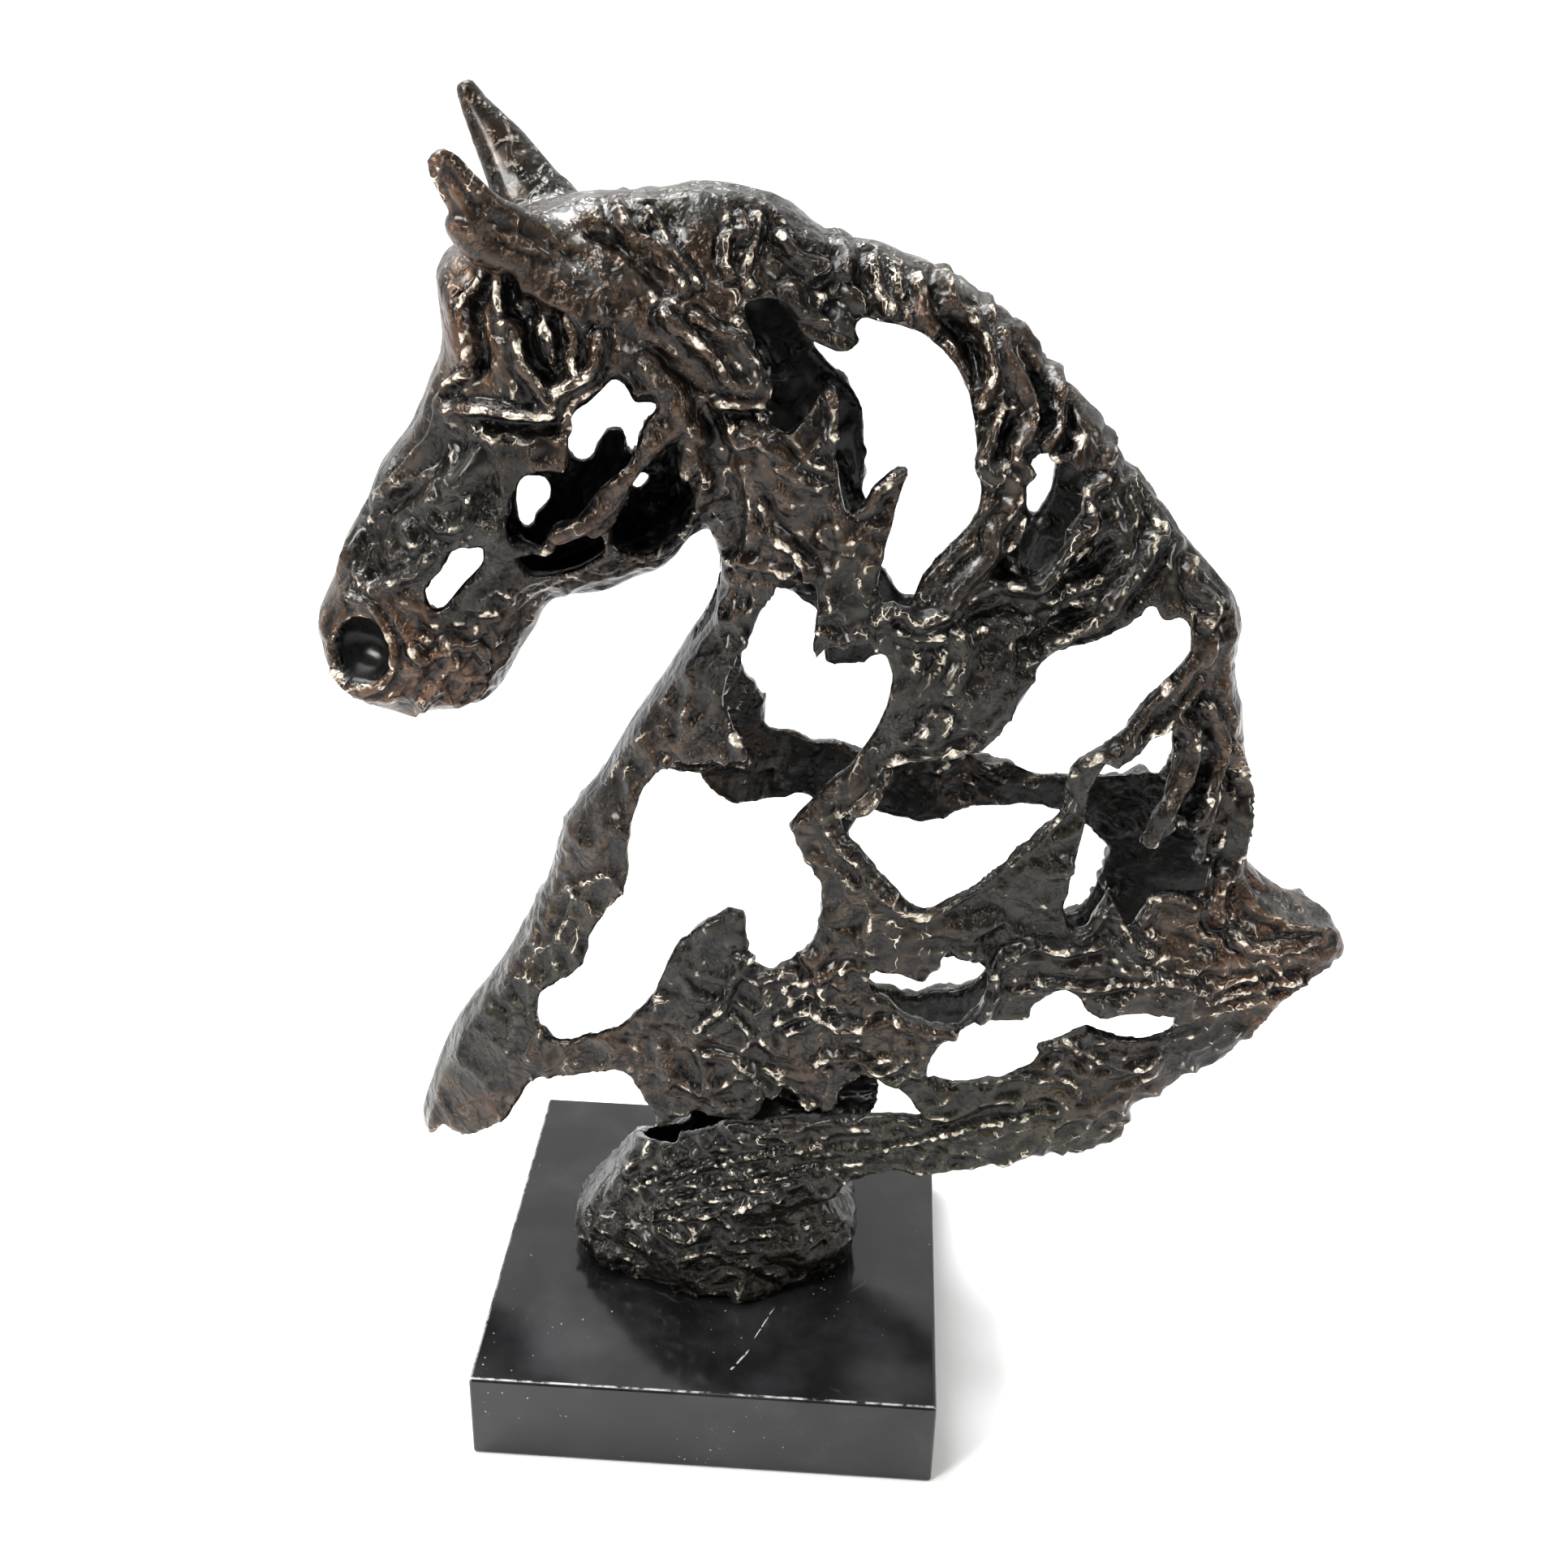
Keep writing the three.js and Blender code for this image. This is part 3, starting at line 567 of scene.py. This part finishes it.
        [(908, 1182), (927, 1204), (952, 1205), (974, 1196), (985, 1215), (1018, 1200), (1037, 1193),
         (1070, 1194)],
    ),
    "flank rim": (2.0, 2.0, [(1183, 1174), (1213, 1185), (1227, 1211), (1220, 1240), (1209, 1255)]),
    "flank foot": (1.8, 1.7, [(1103, 1259), (1132, 1273), (1172, 1275)]),
    "rump fork": (
        2.0, 2.2, [(1365, 1093), (1374, 1118), (1384, 1147), (1399, 1169), (1415, 1175)],
    ),
    "rump fork back": (1.8, 1.8, [(1368, 1175), (1387, 1194), (1418, 1203)]),
    "rump loop": (1.8, 1.8, [(1410, 1135), (1418, 1109), (1434, 1106), (1449, 1106), (1468, 1115)]),
    "rump edge": (1.8, 1.9, [(1525, 1150), (1546, 1169), (1572, 1165), (1597, 1162)]),
    "rump low": (1.8, 1.7, [(1490, 1212), (1506, 1216), (1521, 1209), (1543, 1206)]),
    "ear hollow": (4.5, -1.6, [(556, 215), (580, 250), (610, 285)]),
    "nose groove": (4.2, -2.6, [(552, 545), (522, 584), (482, 622), (452, 680), (458, 708)]),
    "cheek pit": (3.4, -2.2, [(600, 600), (605, 632)]),
    "mouth pit": (3.6, -2.4, [(560, 838), (584, 822)]),
    "mouth line": (2.0, -1.8, [(520, 776), (545, 783), (575, 778)]),
}


WIDEN = 1.3
RAISE = 1.35
WALL_REACH = 8.0
FURROW = 0.35  # depth beside a line, as a share of its height
FAR_SHARE = 0.7


def stand_out(heights, places, outward, half_width, height):
    """Raises the skin along a line of places, on the side that its normals face."""
    low = places.min(0) - max(half_width * 2, WALL_REACH)
    high = places.max(0) + max(half_width * 2, WALL_REACH)
    close = np.nonzero(np.all((points > low) & (points < high), axis=1))[0]
    if not len(close):
        return
    offsets = points[close][:, None] - places[None]
    gaps = np.linalg.norm(offsets, axis=2)
    nearest = gaps.argmin(1)
    gap = gaps.min(1) / half_width
    facing = np.einsum("ij,ij->i", normals[close], outward[nearest]) > 0.1
    if height < 0:
        # A gouge pushes the wall's inner skin inwards too, so that the wall keeps its thickness.
        depths = np.einsum("ijk,jk->ij", offsets, outward)
        sideways = np.sqrt(np.maximum(gaps ** 2 - depths ** 2, 0))
        beneath = ~facing & (gaps.min(1) < WALL_REACH)
        inner_gap = np.where(np.abs(depths) < WALL_REACH, sideways, WALL_REACH).min(1) / half_width
        inner = -height * np.clip(1 - inner_gap, 0, 1) ** 0.8
        heights[close] = np.where(beneath, np.maximum(heights[close], inner), heights[close])
    raised = height * np.clip(1 - gap, 0, 1) ** 0.8
    if height > 0:
        furrow = -FURROW * height * np.clip(1 - np.abs(gap - 1.35) / 0.45, 0, 1)
        raised = np.where(gap < 1, raised, furrow)
    stronger = np.where(
        raised > 0, raised > heights[close], (raised < heights[close]) & (heights[close] <= 0)
    )
    heights[close] = np.where(facing & stronger, raised, heights[close])


def across_to_far_side(found):
    """The same line on the far wall."""
    far = []
    for place, _ in found:
        start = Vector((place.x, 0.2, place.z))
        hit, normal, _, _ = casting.ray_cast(start, Vector((0, -1, 0)))
        if hit and hit.y > 0:
            far.append((hit, normal))
    return far


crests = np.zeros(count)
pits = np.zeros(count)
for name, (half_width, height, drawn) in LINES.items():
    found = on_casting(drawn)
    for share, line in ((1, found), (FAR_SHARE, across_to_far_side(found))):
        if line:
            places = np.array([place for place, _ in line]) / MM
            outward = np.array([normal for _, normal in line])
            target = crests if height > 0 else pits
            stand_out(target, places, outward, half_width * WIDEN, height * RAISE * share)
print("lines drawn:", len(LINES), "; highest", round(float(crests.max()), 2), "mm")

# %% Move the skin
crests *= (1 - np.clip(pressed * 2, 0, 1)) * (0.45 + 0.55 * soften(sideways, 3))
OUTLINE_SOFTNESS = 14
even = (soften(points, OUTLINE_SOFTNESS) - points) * (1 - soften(sideways, 4))[:, None]
even *= ((1 - rims) * (1 - soften(ears * 1.0, 4)))[:, None]
carved = points + even + normals * (relief + crests + pits)[:, None]
carved -= np.outer(pressed * NOSTRIL_DEPTH, pit_normal)
lowest = np.array(bronze_low) / MM
highest = np.array(bronze_high) / MM
carved = np.clip(carved, lowest, highest)
skin.vertices.foreach_set("co", (carved * MM).ravel())
skin.update()
rough_piece = new_piece("carved wax", skin)
MOST_TRIANGLES = 188000
triangles = sum(len(f.vertices) - 2 for f in skin.polygons)
thin = rough_piece.modifiers.new("thin", "DECIMATE")
thin.ratio = min(1, MOST_TRIANGLES / triangles)
bronze_mesh = shown_mesh(rough_piece)
bronze_mesh.validate()
bpy.data.objects.remove(rough_piece)
bronze_mesh.shade_smooth()
bronze = new_piece("bronze_horse_head", bronze_mesh)
print("bronze:", len(bronze_mesh.vertices), "points,", len(bronze_mesh.polygons), "faces")

# %% [markdown]
# ## Wear and shade on the bronze
# Hands rub the patina off whatever stands out; the pale lines on the crests are partly that wear
# and partly painted highlight. What lies deep is painted darker as shade. So two numbers are kept
# at every point: how sharply the skin bulges there, and how much of the sky it sees. The material
# reads both.

# %% Measure bulge and shade
total = len(bronze_mesh.vertices)
place_now = np.empty(total * 3)
bronze_mesh.vertices.foreach_get("co", place_now)
place_now = place_now.reshape(-1, 3) / MM
normal_now = np.empty(total * 3, np.float32)
bronze_mesh.vertices.foreach_get("normal", normal_now)
normal_now = normal_now.reshape(-1, 3).astype(float)
links = np.empty(len(bronze_mesh.edges) * 2, int)
bronze_mesh.edges.foreach_get("vertices", links)
links = links.reshape(-1, 2)
link_count = np.bincount(links.ravel(), minlength=total)

BULGE_REACH = 2
WIDE_REACH = 14


def bulge_over(reach):
    """How far the skin stands above the mean of what lies round it, in millimetres."""
    flattened = place_now
    for _ in range(reach):
        flattened = neighbours_mean(flattened, links, link_count)
    return np.einsum("ij,ij->i", place_now - flattened, normal_now)


bulge = bulge_over(BULGE_REACH) - 0.22 * bulge_over(WIDE_REACH)
print("bulge, mm:", [round(float(v), 2) for v in np.percentile(bulge, [5, 50, 90, 99])])

SKY_REACH = 75 * MM
SKY = [Vector(v).normalized() for v in (
    (0, 0, 1), (0.7, 0, 0.7), (-0.7, 0, 0.7), (0, 0.7, 0.7), (0, -0.7, 0.7),
    (0.8, 0.8, 0.35), (-0.8, 0.8, 0.35), (-0.8, -0.8, 0.35), (0.8, -0.8, 0.35),
)]
bronze_tree = BVHTree.FromPolygons(
    [Vector(p) for p in place_now * MM], [tuple(f.vertices) for f in bronze_mesh.polygons]
)
shade = np.empty(total)
for i in range(total):
    normal = Vector(normal_now[i])
    if normal.length < 0.5:
        normal = Vector((0, 0, 1))
    turned = normal.to_track_quat("Z", "Y")
    start = Vector(place_now[i] * MM) + normal * 0.4 * MM
    hit = [bronze_tree.ray_cast(start, turned @ d, SKY_REACH)[0] is not None for d in SKY]
    shade[i] = 0.6 * sum(hit) / len(SKY) + 0.4 * hit[0]
shade = soften(shade, 2, links, link_count)
# Painted shade: the nostril pit counts as fully shaded, so the material paints it near black.
shade = np.maximum(shade, np.clip(2 * in_nostril(place_now), 0, 1))
upward = soften(normal_now[:, 2], 2, links, link_count)
for name, values in (("bulge", bulge), ("shade", shade), ("upward", upward)):
    attribute = bronze_mesh.attributes.new(name, "FLOAT", "POINT")
    attribute.data.foreach_set("value", values.astype(np.float32))
print("mean shade:", round(float(shade.mean()), 2))


# %% [markdown]
# ## The patina
# Liver-brown patina is made by brushing acid on the heated bronze, then wax. It comes out
# uneven: warm brown on nose and chest, olive low on the body, and near black in the hollows, which
# is painted in as shade. Top-facing bronze gets a painted grey sheen. Bare metal shows as thin pale
# lines on the crests, painted partly as wear and partly as highlight. One Principled shader carries
# all of it, and its colour is mixed from noise, from the height above the plinth, and from the
# measured numbers.

# %% Helpers for materials
class Finish:
    """A material under construction."""

    def __init__(self, name):
        self.material = bpy.data.materials.new(name)
        self.material.use_nodes = True
        self.tree = self.material.node_tree
        self.shader = self.tree.nodes["Principled BSDF"]
        self.place = self.add("ShaderNodeTexCoord").outputs["Object"]

    def add(self, kind, **settings):
        node = self.tree.nodes.new(kind)
        for key, value in settings.items():
            setattr(node, key, value)
        return node

    def join(self, source, socket):
        if isinstance(source, bpy.types.NodeSocket):
            self.tree.links.new(source, socket)
        elif hasattr(socket, "default_value"):
            if socket.type == "RGBA" and len(source) == 3:
                source = (*source, 1)
            socket.default_value = source

    def noise(self, scale, detail=4, rough=0.55, place=None):
        node = self.add("ShaderNodeTexNoise")
        self.join(place or self.place, node.inputs["Vector"])
        node.inputs["Scale"].default_value = scale
        node.inputs["Detail"].default_value = detail
        node.inputs["Roughness"].default_value = rough
        return node.outputs["Fac"]

    def cells(self, scale, feature="F1", place=None):
        node = self.add("ShaderNodeTexVoronoi", feature=feature)
        self.join(place or self.place, node.inputs["Vector"])
        node.inputs["Scale"].default_value = scale
        return node.outputs["Distance"]

    def span(self, value, low, high, to_low=0.0, to_high=1.0):
        node = self.add("ShaderNodeMapRange", interpolation_type="SMOOTHSTEP")
        self.join(value, node.inputs["Value"])
        for name, number in (("From Min", low), ("From Max", high), ("To Min", to_low), ("To Max", to_high)):
            node.inputs[name].default_value = number
        return node.outputs["Result"]

    def maths(self, operation, a, b=0.0):
        node = self.add("ShaderNodeMath", operation=operation)
        self.join(a, node.inputs[0])
        self.join(b, node.inputs[1])
        return node.outputs[0]

    def mix(self, share, a, b):
        node = self.add("ShaderNodeMix", data_type="RGBA")
        self.join(share, node.inputs["Factor"])
        self.join(a, node.inputs[6])
        self.join(b, node.inputs[7])
        return node.outputs[2]

    def measured(self, name):
        return self.add("ShaderNodeAttribute", attribute_name=name).outputs["Fac"]

    def bump(self, height, strength, distance, under=None):
        node = self.add("ShaderNodeBump")
        self.join(height, node.inputs["Height"])
        node.inputs["Strength"].default_value = strength
        node.inputs["Distance"].default_value = distance
        if under:
            self.join(under, node.inputs["Normal"])
        return node.outputs["Normal"]

    def finish(self, colour, roughness, normal=None, **constants):
        self.join(colour, self.shader.inputs["Base Color"])
        self.join(roughness, self.shader.inputs["Roughness"])
        if normal:
            self.join(normal, self.shader.inputs["Normal"])
        for name, value in constants.items():
            self.shader.inputs[name.replace("_", " ")].default_value = value
        return self.material


# %% Bronze
NEAR_BLACK = (0.004, 0.0037, 0.0033)
WARM_BROWN = (0.095, 0.050, 0.027)
DARK_BROWN = (0.017, 0.0135, 0.0090)
OLIVE = (0.030, 0.028, 0.014)
# Pale colour of the crest lines: bare metal, and painted highlight.
BARE_AND_HIGHLIGHT = (0.74, 0.65, 0.53)
# Pale grey of the painted sheen on top-facing bronze.
SHEEN_GREY = (0.105, 0.103, 0.095)

patina = Finish("dark brown patina on bronze")
blotches = patina.span(patina.noise(16), 0.44, 0.62)
clouds = patina.span(patina.noise(9, detail=2), 0.42, 0.58)
height = patina.add("ShaderNodeSeparateXYZ")
patina.join(patina.place, height.inputs[0])
low_down = patina.span(height.outputs["Z"], 0.05, 0.26, 1, 0)
forward = patina.span(height.outputs["X"], -0.05, -0.085)
backward = patina.span(height.outputs["X"], 0.13, 0.18)
warm = patina.maths("ADD", patina.maths("MAXIMUM", forward, backward), 0.45)
ground = patina.mix(patina.maths("MULTIPLY", blotches, warm), DARK_BROWN, WARM_BROWN)
ground = patina.mix(patina.maths("MULTIPLY", low_down, clouds), ground, OLIVE)
fine = patina.span(patina.noise(150, detail=6), 0.35, 0.7)
ground = patina.mix(patina.maths("MULTIPLY", fine, 0.6), ground, NEAR_BLACK)
bulge_here = patina.measured("bulge")
shade_here = patina.measured("shade")
# Painted shade: where the skin is hollow (bulge below zero) the colour is painted towards near black.
hollows = patina.span(bulge_here, 0.06, -0.24)
ground = patina.mix(patina.maths("MULTIPLY", hollows, 0.9), ground, NEAR_BLACK)
# Painted shade: the less of the sky a point sees, the nearer black its colour is painted.
ground = patina.mix(patina.span(shade_here, 0.08, 0.45), ground, NEAR_BLACK)


# Painted sheen: bronze that faces up is painted a pale grey in patches, less where it is shaded.
top_sheen = patina.span(patina.measured("upward"), 0.35, 0.95)
top_sheen = patina.maths("MULTIPLY", top_sheen, patina.span(patina.noise(60, detail=5), 0.3, 0.6))
top_sheen = patina.maths("MULTIPLY", top_sheen, patina.span(shade_here, 0.35, 0.1))
ground = patina.mix(patina.maths("MULTIPLY", top_sheen, 0.8), ground, SHEEN_GREY)


def thin_crests(scale, where, half_width):
    """Winding crests: how high the skin is at them, and a thin line along their tops."""
    wander = patina.noise(scale, detail=3, rough=0.5)
    gap = patina.maths("ABSOLUTE", patina.maths("SUBTRACT", wander, 0.5))
    rise = patina.span(gap, 0.10, 0.0)
    return rise, patina.maths("MULTIPLY", patina.span(gap, half_width, half_width * 0.3), where)


# The pale crest lines are partly bare-metal wear and partly painted highlight; lit keeps them off places in
# shade.
standing = patina.span(bulge_here, 0.0, 0.2)
patchy = patina.span(patina.noise(34, detail=3), 0.52, 0.64)
coarse_rise, coarse_line = thin_crests(55, patina.maths("MULTIPLY", standing, patchy), 0.013)
fine_rise, fine_line = thin_crests(120, patina.maths("MULTIPLY", standing, patchy), 0.012)
sharp = patina.span(bulge_here, 0.26, 0.50)
sharp = patina.maths("MULTIPLY", sharp, patina.span(patina.noise(190, detail=5), 0.48, 0.56))
rubbed_and_highlit = patina.maths("MAXIMUM", patina.maths("MAXIMUM", coarse_line, fine_line), sharp)
lit = patina.span(shade_here, 0.60, 0.30)
rubbed_and_highlit = patina.maths("MULTIPLY", patina.maths("MULTIPLY", rubbed_and_highlit, lit), 0.9)
colour = patina.mix(rubbed_and_highlit, ground, BARE_AND_HIGHLIGHT)
grain = patina.bump(patina.noise(520, detail=5, rough=0.65), 0.3, 0.0004)
grain = patina.bump(fine_rise, 0.7, 0.0010, grain)
grain = patina.bump(coarse_rise, 0.7, 0.0018, grain)
rough = patina.span(patina.noise(70, detail=4), 0.3, 0.7, 0.28, 0.50)
rough = patina.maths("MAXIMUM", rough, patina.span(shade_here, 0.4, 0.9, 0.3, 0.95))
bronze_finish = patina.finish(
    colour, rough, grain, Metallic=0.8, Coat_Weight=0.3, Coat_Roughness=0.2, IOR=1.6
)
bronze_mesh.materials.clear()
bronze_mesh.materials.append(bronze_finish)
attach(bronze, "root")
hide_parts("horse_head")
print("bronze finish:", len(patina.tree.nodes), "nodes")

# %% [markdown]
# ## The plinth
# A sawn and polished block of black marble, with its edges broken by a stone so that they don't
# chip. A cube with a small round bevel gives that edge its thin line of light. The stone is near
# black with faint grey clouds, a few hair-thin white veins and scattered specks, and its front
# edges carry fine pale scratches.

# %% Cut the block
EDGE = 1.2 * MM
stone = bmesh.new()
middle = (plinth_low + plinth_high) / 2
bmesh.ops.create_cube(
    stone,
    size=1,
    matrix=Matrix.Translation(middle) @ Matrix.Diagonal((*(plinth_high - plinth_low), 1)),
)
bmesh.ops.bevel(
    stone,
    geom=stone.edges[:],
    offset=EDGE,
    offset_type="OFFSET",
    affect="EDGES",
    segments=3,
    profile=0.5,
    material=-1,
)
marble_mesh = bpy.data.meshes.new("marble_plinth")
stone.to_mesh(marble_mesh)
stone.free()
marble_mesh.shade_smooth()
plinth = new_piece("marble_plinth", marble_mesh)
hold = plinth.modifiers.new("flat faces", "WEIGHTED_NORMAL")
hold.keep_sharp = True
print("plinth:", len(marble_mesh.polygons), "faces")

# %% Marble
BLACK = (0.006, 0.006, 0.0065)
GREY_CLOUD = (0.024, 0.024, 0.026)
WHITE_VEIN = (0.62, 0.61, 0.58)
polish = Finish("polished black marble")
warp = polish.add("ShaderNodeTexNoise")
polish.join(polish.place, warp.inputs["Vector"])
warp.inputs["Scale"].default_value = 26
warp.inputs["Detail"].default_value = 5
shift = polish.add("ShaderNodeVectorMath", operation="SCALE")
polish.join(warp.outputs["Color"], shift.inputs[0])
shift.inputs["Scale"].default_value = 0.028
bent_place = polish.add("ShaderNodeVectorMath", operation="ADD")
polish.join(polish.place, bent_place.inputs[0])
polish.join(shift.outputs[0], bent_place.inputs[1])
bent = bent_place.outputs[0]

stone_colour = polish.mix(polish.span(polish.noise(30, detail=8), 0.4, 0.75), BLACK, GREY_CLOUD)
net = polish.cells(13, "DISTANCE_TO_EDGE", bent)
hairs = polish.span(net, 0.0, 0.010, 1, 0)
hairs = polish.maths("MULTIPLY", hairs, polish.span(polish.noise(17, detail=3), 0.60, 0.72))
stone_colour = polish.mix(polish.maths("MULTIPLY", hairs, 0.12), stone_colour, WHITE_VEIN)
specks = polish.span(polish.cells(330), 0.07, 0.12, 1, 0)
specks = polish.maths("MULTIPLY", specks, polish.span(polish.noise(46, detail=3), 0.52, 0.66))
stone_colour = polish.mix(polish.maths("MULTIPLY", specks, 0.5), stone_colour, WHITE_VEIN)


def vein(start, end, half_width):
    """A thin vein through two places on the stone, a little bent."""
    a, b = Vector(start), Vector(end)
    run = b - a
    off = polish.add("ShaderNodeVectorMath", operation="SUBTRACT")
    wobble = polish.add("ShaderNodeVectorMath", operation="SCALE")
    polish.join(warp.outputs["Color"], wobble.inputs[0])
    wobble.inputs["Scale"].default_value = 0.006
    moved = polish.add("ShaderNodeVectorMath", operation="ADD")
    polish.join(polish.place, moved.inputs[0])
    polish.join(wobble.outputs[0], moved.inputs[1])
    polish.join(moved.outputs[0], off.inputs[0])
    off.inputs[1].default_value = a + Vector((0.003, 0.003, 0.003))
    dot = polish.add("ShaderNodeVectorMath", operation="DOT_PRODUCT")
    polish.join(off.outputs[0], dot.inputs[0])
    dot.inputs[1].default_value = run / run.length_squared
    along = polish.add("ShaderNodeClamp")
    polish.join(dot.outputs["Value"], along.inputs["Value"])
    foot = polish.add("ShaderNodeVectorMath", operation="SCALE")
    foot.inputs[0].default_value = run
    polish.join(along.outputs[0], foot.inputs["Scale"])
    gap = polish.add("ShaderNodeVectorMath", operation="DISTANCE")
    polish.join(off.outputs[0], gap.inputs[0])
    polish.join(foot.outputs[0], gap.inputs[1])
    line = polish.span(gap.outputs["Value"], half_width * 0.4, half_width, 1, 0)
    return polish.maths("MULTIPLY", line, polish.span(polish.noise(420, detail=2), 0.36, 0.55))


def on_plinth_top(point):
    direction = ray_through(point)
    return LENS_PLACE + direction * ((plinth_high.z - LENS_PLACE.z) / direction.z)


VEINS = [
    ((962, 1597), (925, 1665), 0.30),
    ((925, 1665), (902, 1690), 0.42),
    ((1010, 1640), (1060, 1662), 0.22),
]
for start, end, half_width in VEINS:
    line = vein(on_plinth_top(start), on_plinth_top(end), half_width * MM)
    stone_colour = polish.mix(polish.maths("MULTIPLY", line, 0.85), stone_colour, WHITE_VEIN)

sides = polish.add("ShaderNodeSeparateXYZ")
polish.join(polish.place, sides.inputs[0])
half_side = (plinth_high.x - plinth_low.x) / 2
front = polish.span(sides.outputs["Y"], -half_side + 1.6 * MM, -half_side + 1.1 * MM)
front_end = polish.span(sides.outputs["Y"], -half_side + 0.5 * MM, -half_side + 0.9 * MM)
front = polish.maths("MULTIPLY", front, front_end)
left = polish.span(sides.outputs["X"], -half_side + 1.3 * MM, -half_side + 0.5 * MM)
rim_side = polish.maths("MAXIMUM", front, polish.maths("MULTIPLY", left, 0.5))
top_edge = polish.span(sides.outputs["Z"], plinth_high.z - 1.5 * MM, plinth_high.z - 0.5 * MM)
scratched = polish.maths("MULTIPLY", rim_side, top_edge)
scratched = polish.maths("MULTIPLY", scratched, polish.span(polish.noise(300, detail=4), 0.38, 0.6))
stone_colour = polish.mix(polish.maths("MULTIPLY", scratched, 0.7), stone_colour, WHITE_VEIN)
smudge = polish.span(polish.noise(24, detail=6), 0.35, 0.75, 0.10, 0.20)
stone_rough = polish.maths("ADD", smudge, polish.maths("MULTIPLY", scratched, 0.3))
polish_finish = polish.finish(
    stone_colour,
    stone_rough,
    polish.bump(polish.noise(700, detail=3), 0.03, 0.0002),
    Metallic=0.0,
    IOR=1.44,
)
marble_mesh.materials.append(polish_finish)
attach(plinth, "root")
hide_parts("plinth")
print("marble finish:", len(polish.tree.nodes), "nodes")

# %% [markdown]
# ## Floor, sky and lights
# The picture was taken in a white room with a big soft light above and to the left: top-facing
# bronze is cool and pale, hollows are black, and a soft shadow lies right of the plinth.

# %% Floor
floor_mesh = bpy.data.meshes.new("floor")
ground_plane = bmesh.new()
bmesh.ops.create_grid(ground_plane, x_segments=1, y_segments=1, size=40)
ground_plane.to_mesh(floor_mesh)
ground_plane.free()
floor = new_piece("floor", floor_mesh)
pale = Finish("pale floor")
pale_colour = pale.mix(pale.noise(3, detail=2), (0.86, 0.86, 0.86), (0.90, 0.90, 0.89))
floor_mesh.materials.append(pale.finish(pale_colour, 0.8))
print("floor placed")

# %% Lights
BRIGHT_SIDE = Vector((-0.30, 0.70, 0.62)).normalized()
DIM = 0.14
BRIGHT = 1.35
world = bpy.data.worlds.new("white room")
bpy.context.scene.world = world
world.use_nodes = True
sky = world.node_tree
background = sky.nodes["Background"]
direction = sky.nodes.new("ShaderNodeTexCoord").outputs["Generated"]
toward_bright = sky.nodes.new("ShaderNodeVectorMath")
toward_bright.operation = "DOT_PRODUCT"
toward_bright.inputs[1].default_value = BRIGHT_SIDE
sky.links.new(direction, toward_bright.inputs[0])
fade = sky.nodes.new("ShaderNodeMapRange")
fade.interpolation_type = "SMOOTHSTEP"
for name, number in (("From Min", 0.0), ("From Max", 0.9), ("To Min", DIM), ("To Max", BRIGHT)):
    fade.inputs[name].default_value = number
sky.links.new(toward_bright.outputs["Value"], fade.inputs["Value"])
sky.links.new(fade.outputs["Result"], background.inputs["Strength"])
background.inputs["Color"].default_value = (1.0, 1.0, 1.0, 1)


def soft_light(name, place, target, size, power, colour):
    data = bpy.data.lights.new(name, "AREA")
    data.shape = "SQUARE"
    data.size = size
    data.energy = power
    data.color = colour
    lamp = bpy.data.objects.new(name, data)
    lamp.location = place
    aim = Vector(target) - Vector(place)
    lamp.rotation_mode = "QUATERNION"
    lamp.rotation_quaternion = aim.to_track_quat("-Z", "Y")
    bpy.context.scene.collection.objects.link(lamp)
    return lamp


HEART = (0.04, 0, 0.24)
soft_light("overhead", (-0.35, 0.15, 1.25), HEART, 0.6, 18, (0.94, 0.97, 1.0))
soft_light("key", (-0.75, -0.75, 0.95), HEART, 0.30, 15, (1.0, 0.98, 0.95))
soft_light("rim", (0.9, -0.35, 0.7), HEART, 0.2, 4, (1.0, 0.99, 0.97))
day = bpy.data.lights.new("window", "SUN")
day.energy = 1.9
day.angle = math.radians(40)
window = bpy.data.objects.new("window", day)
window.rotation_mode = "QUATERNION"
window.rotation_quaternion = Vector((0.35, -0.25, -0.9)).to_track_quat("-Z", "Y")
bpy.context.scene.collection.objects.link(window)
bpy.context.scene.view_settings.view_transform = "Standard"
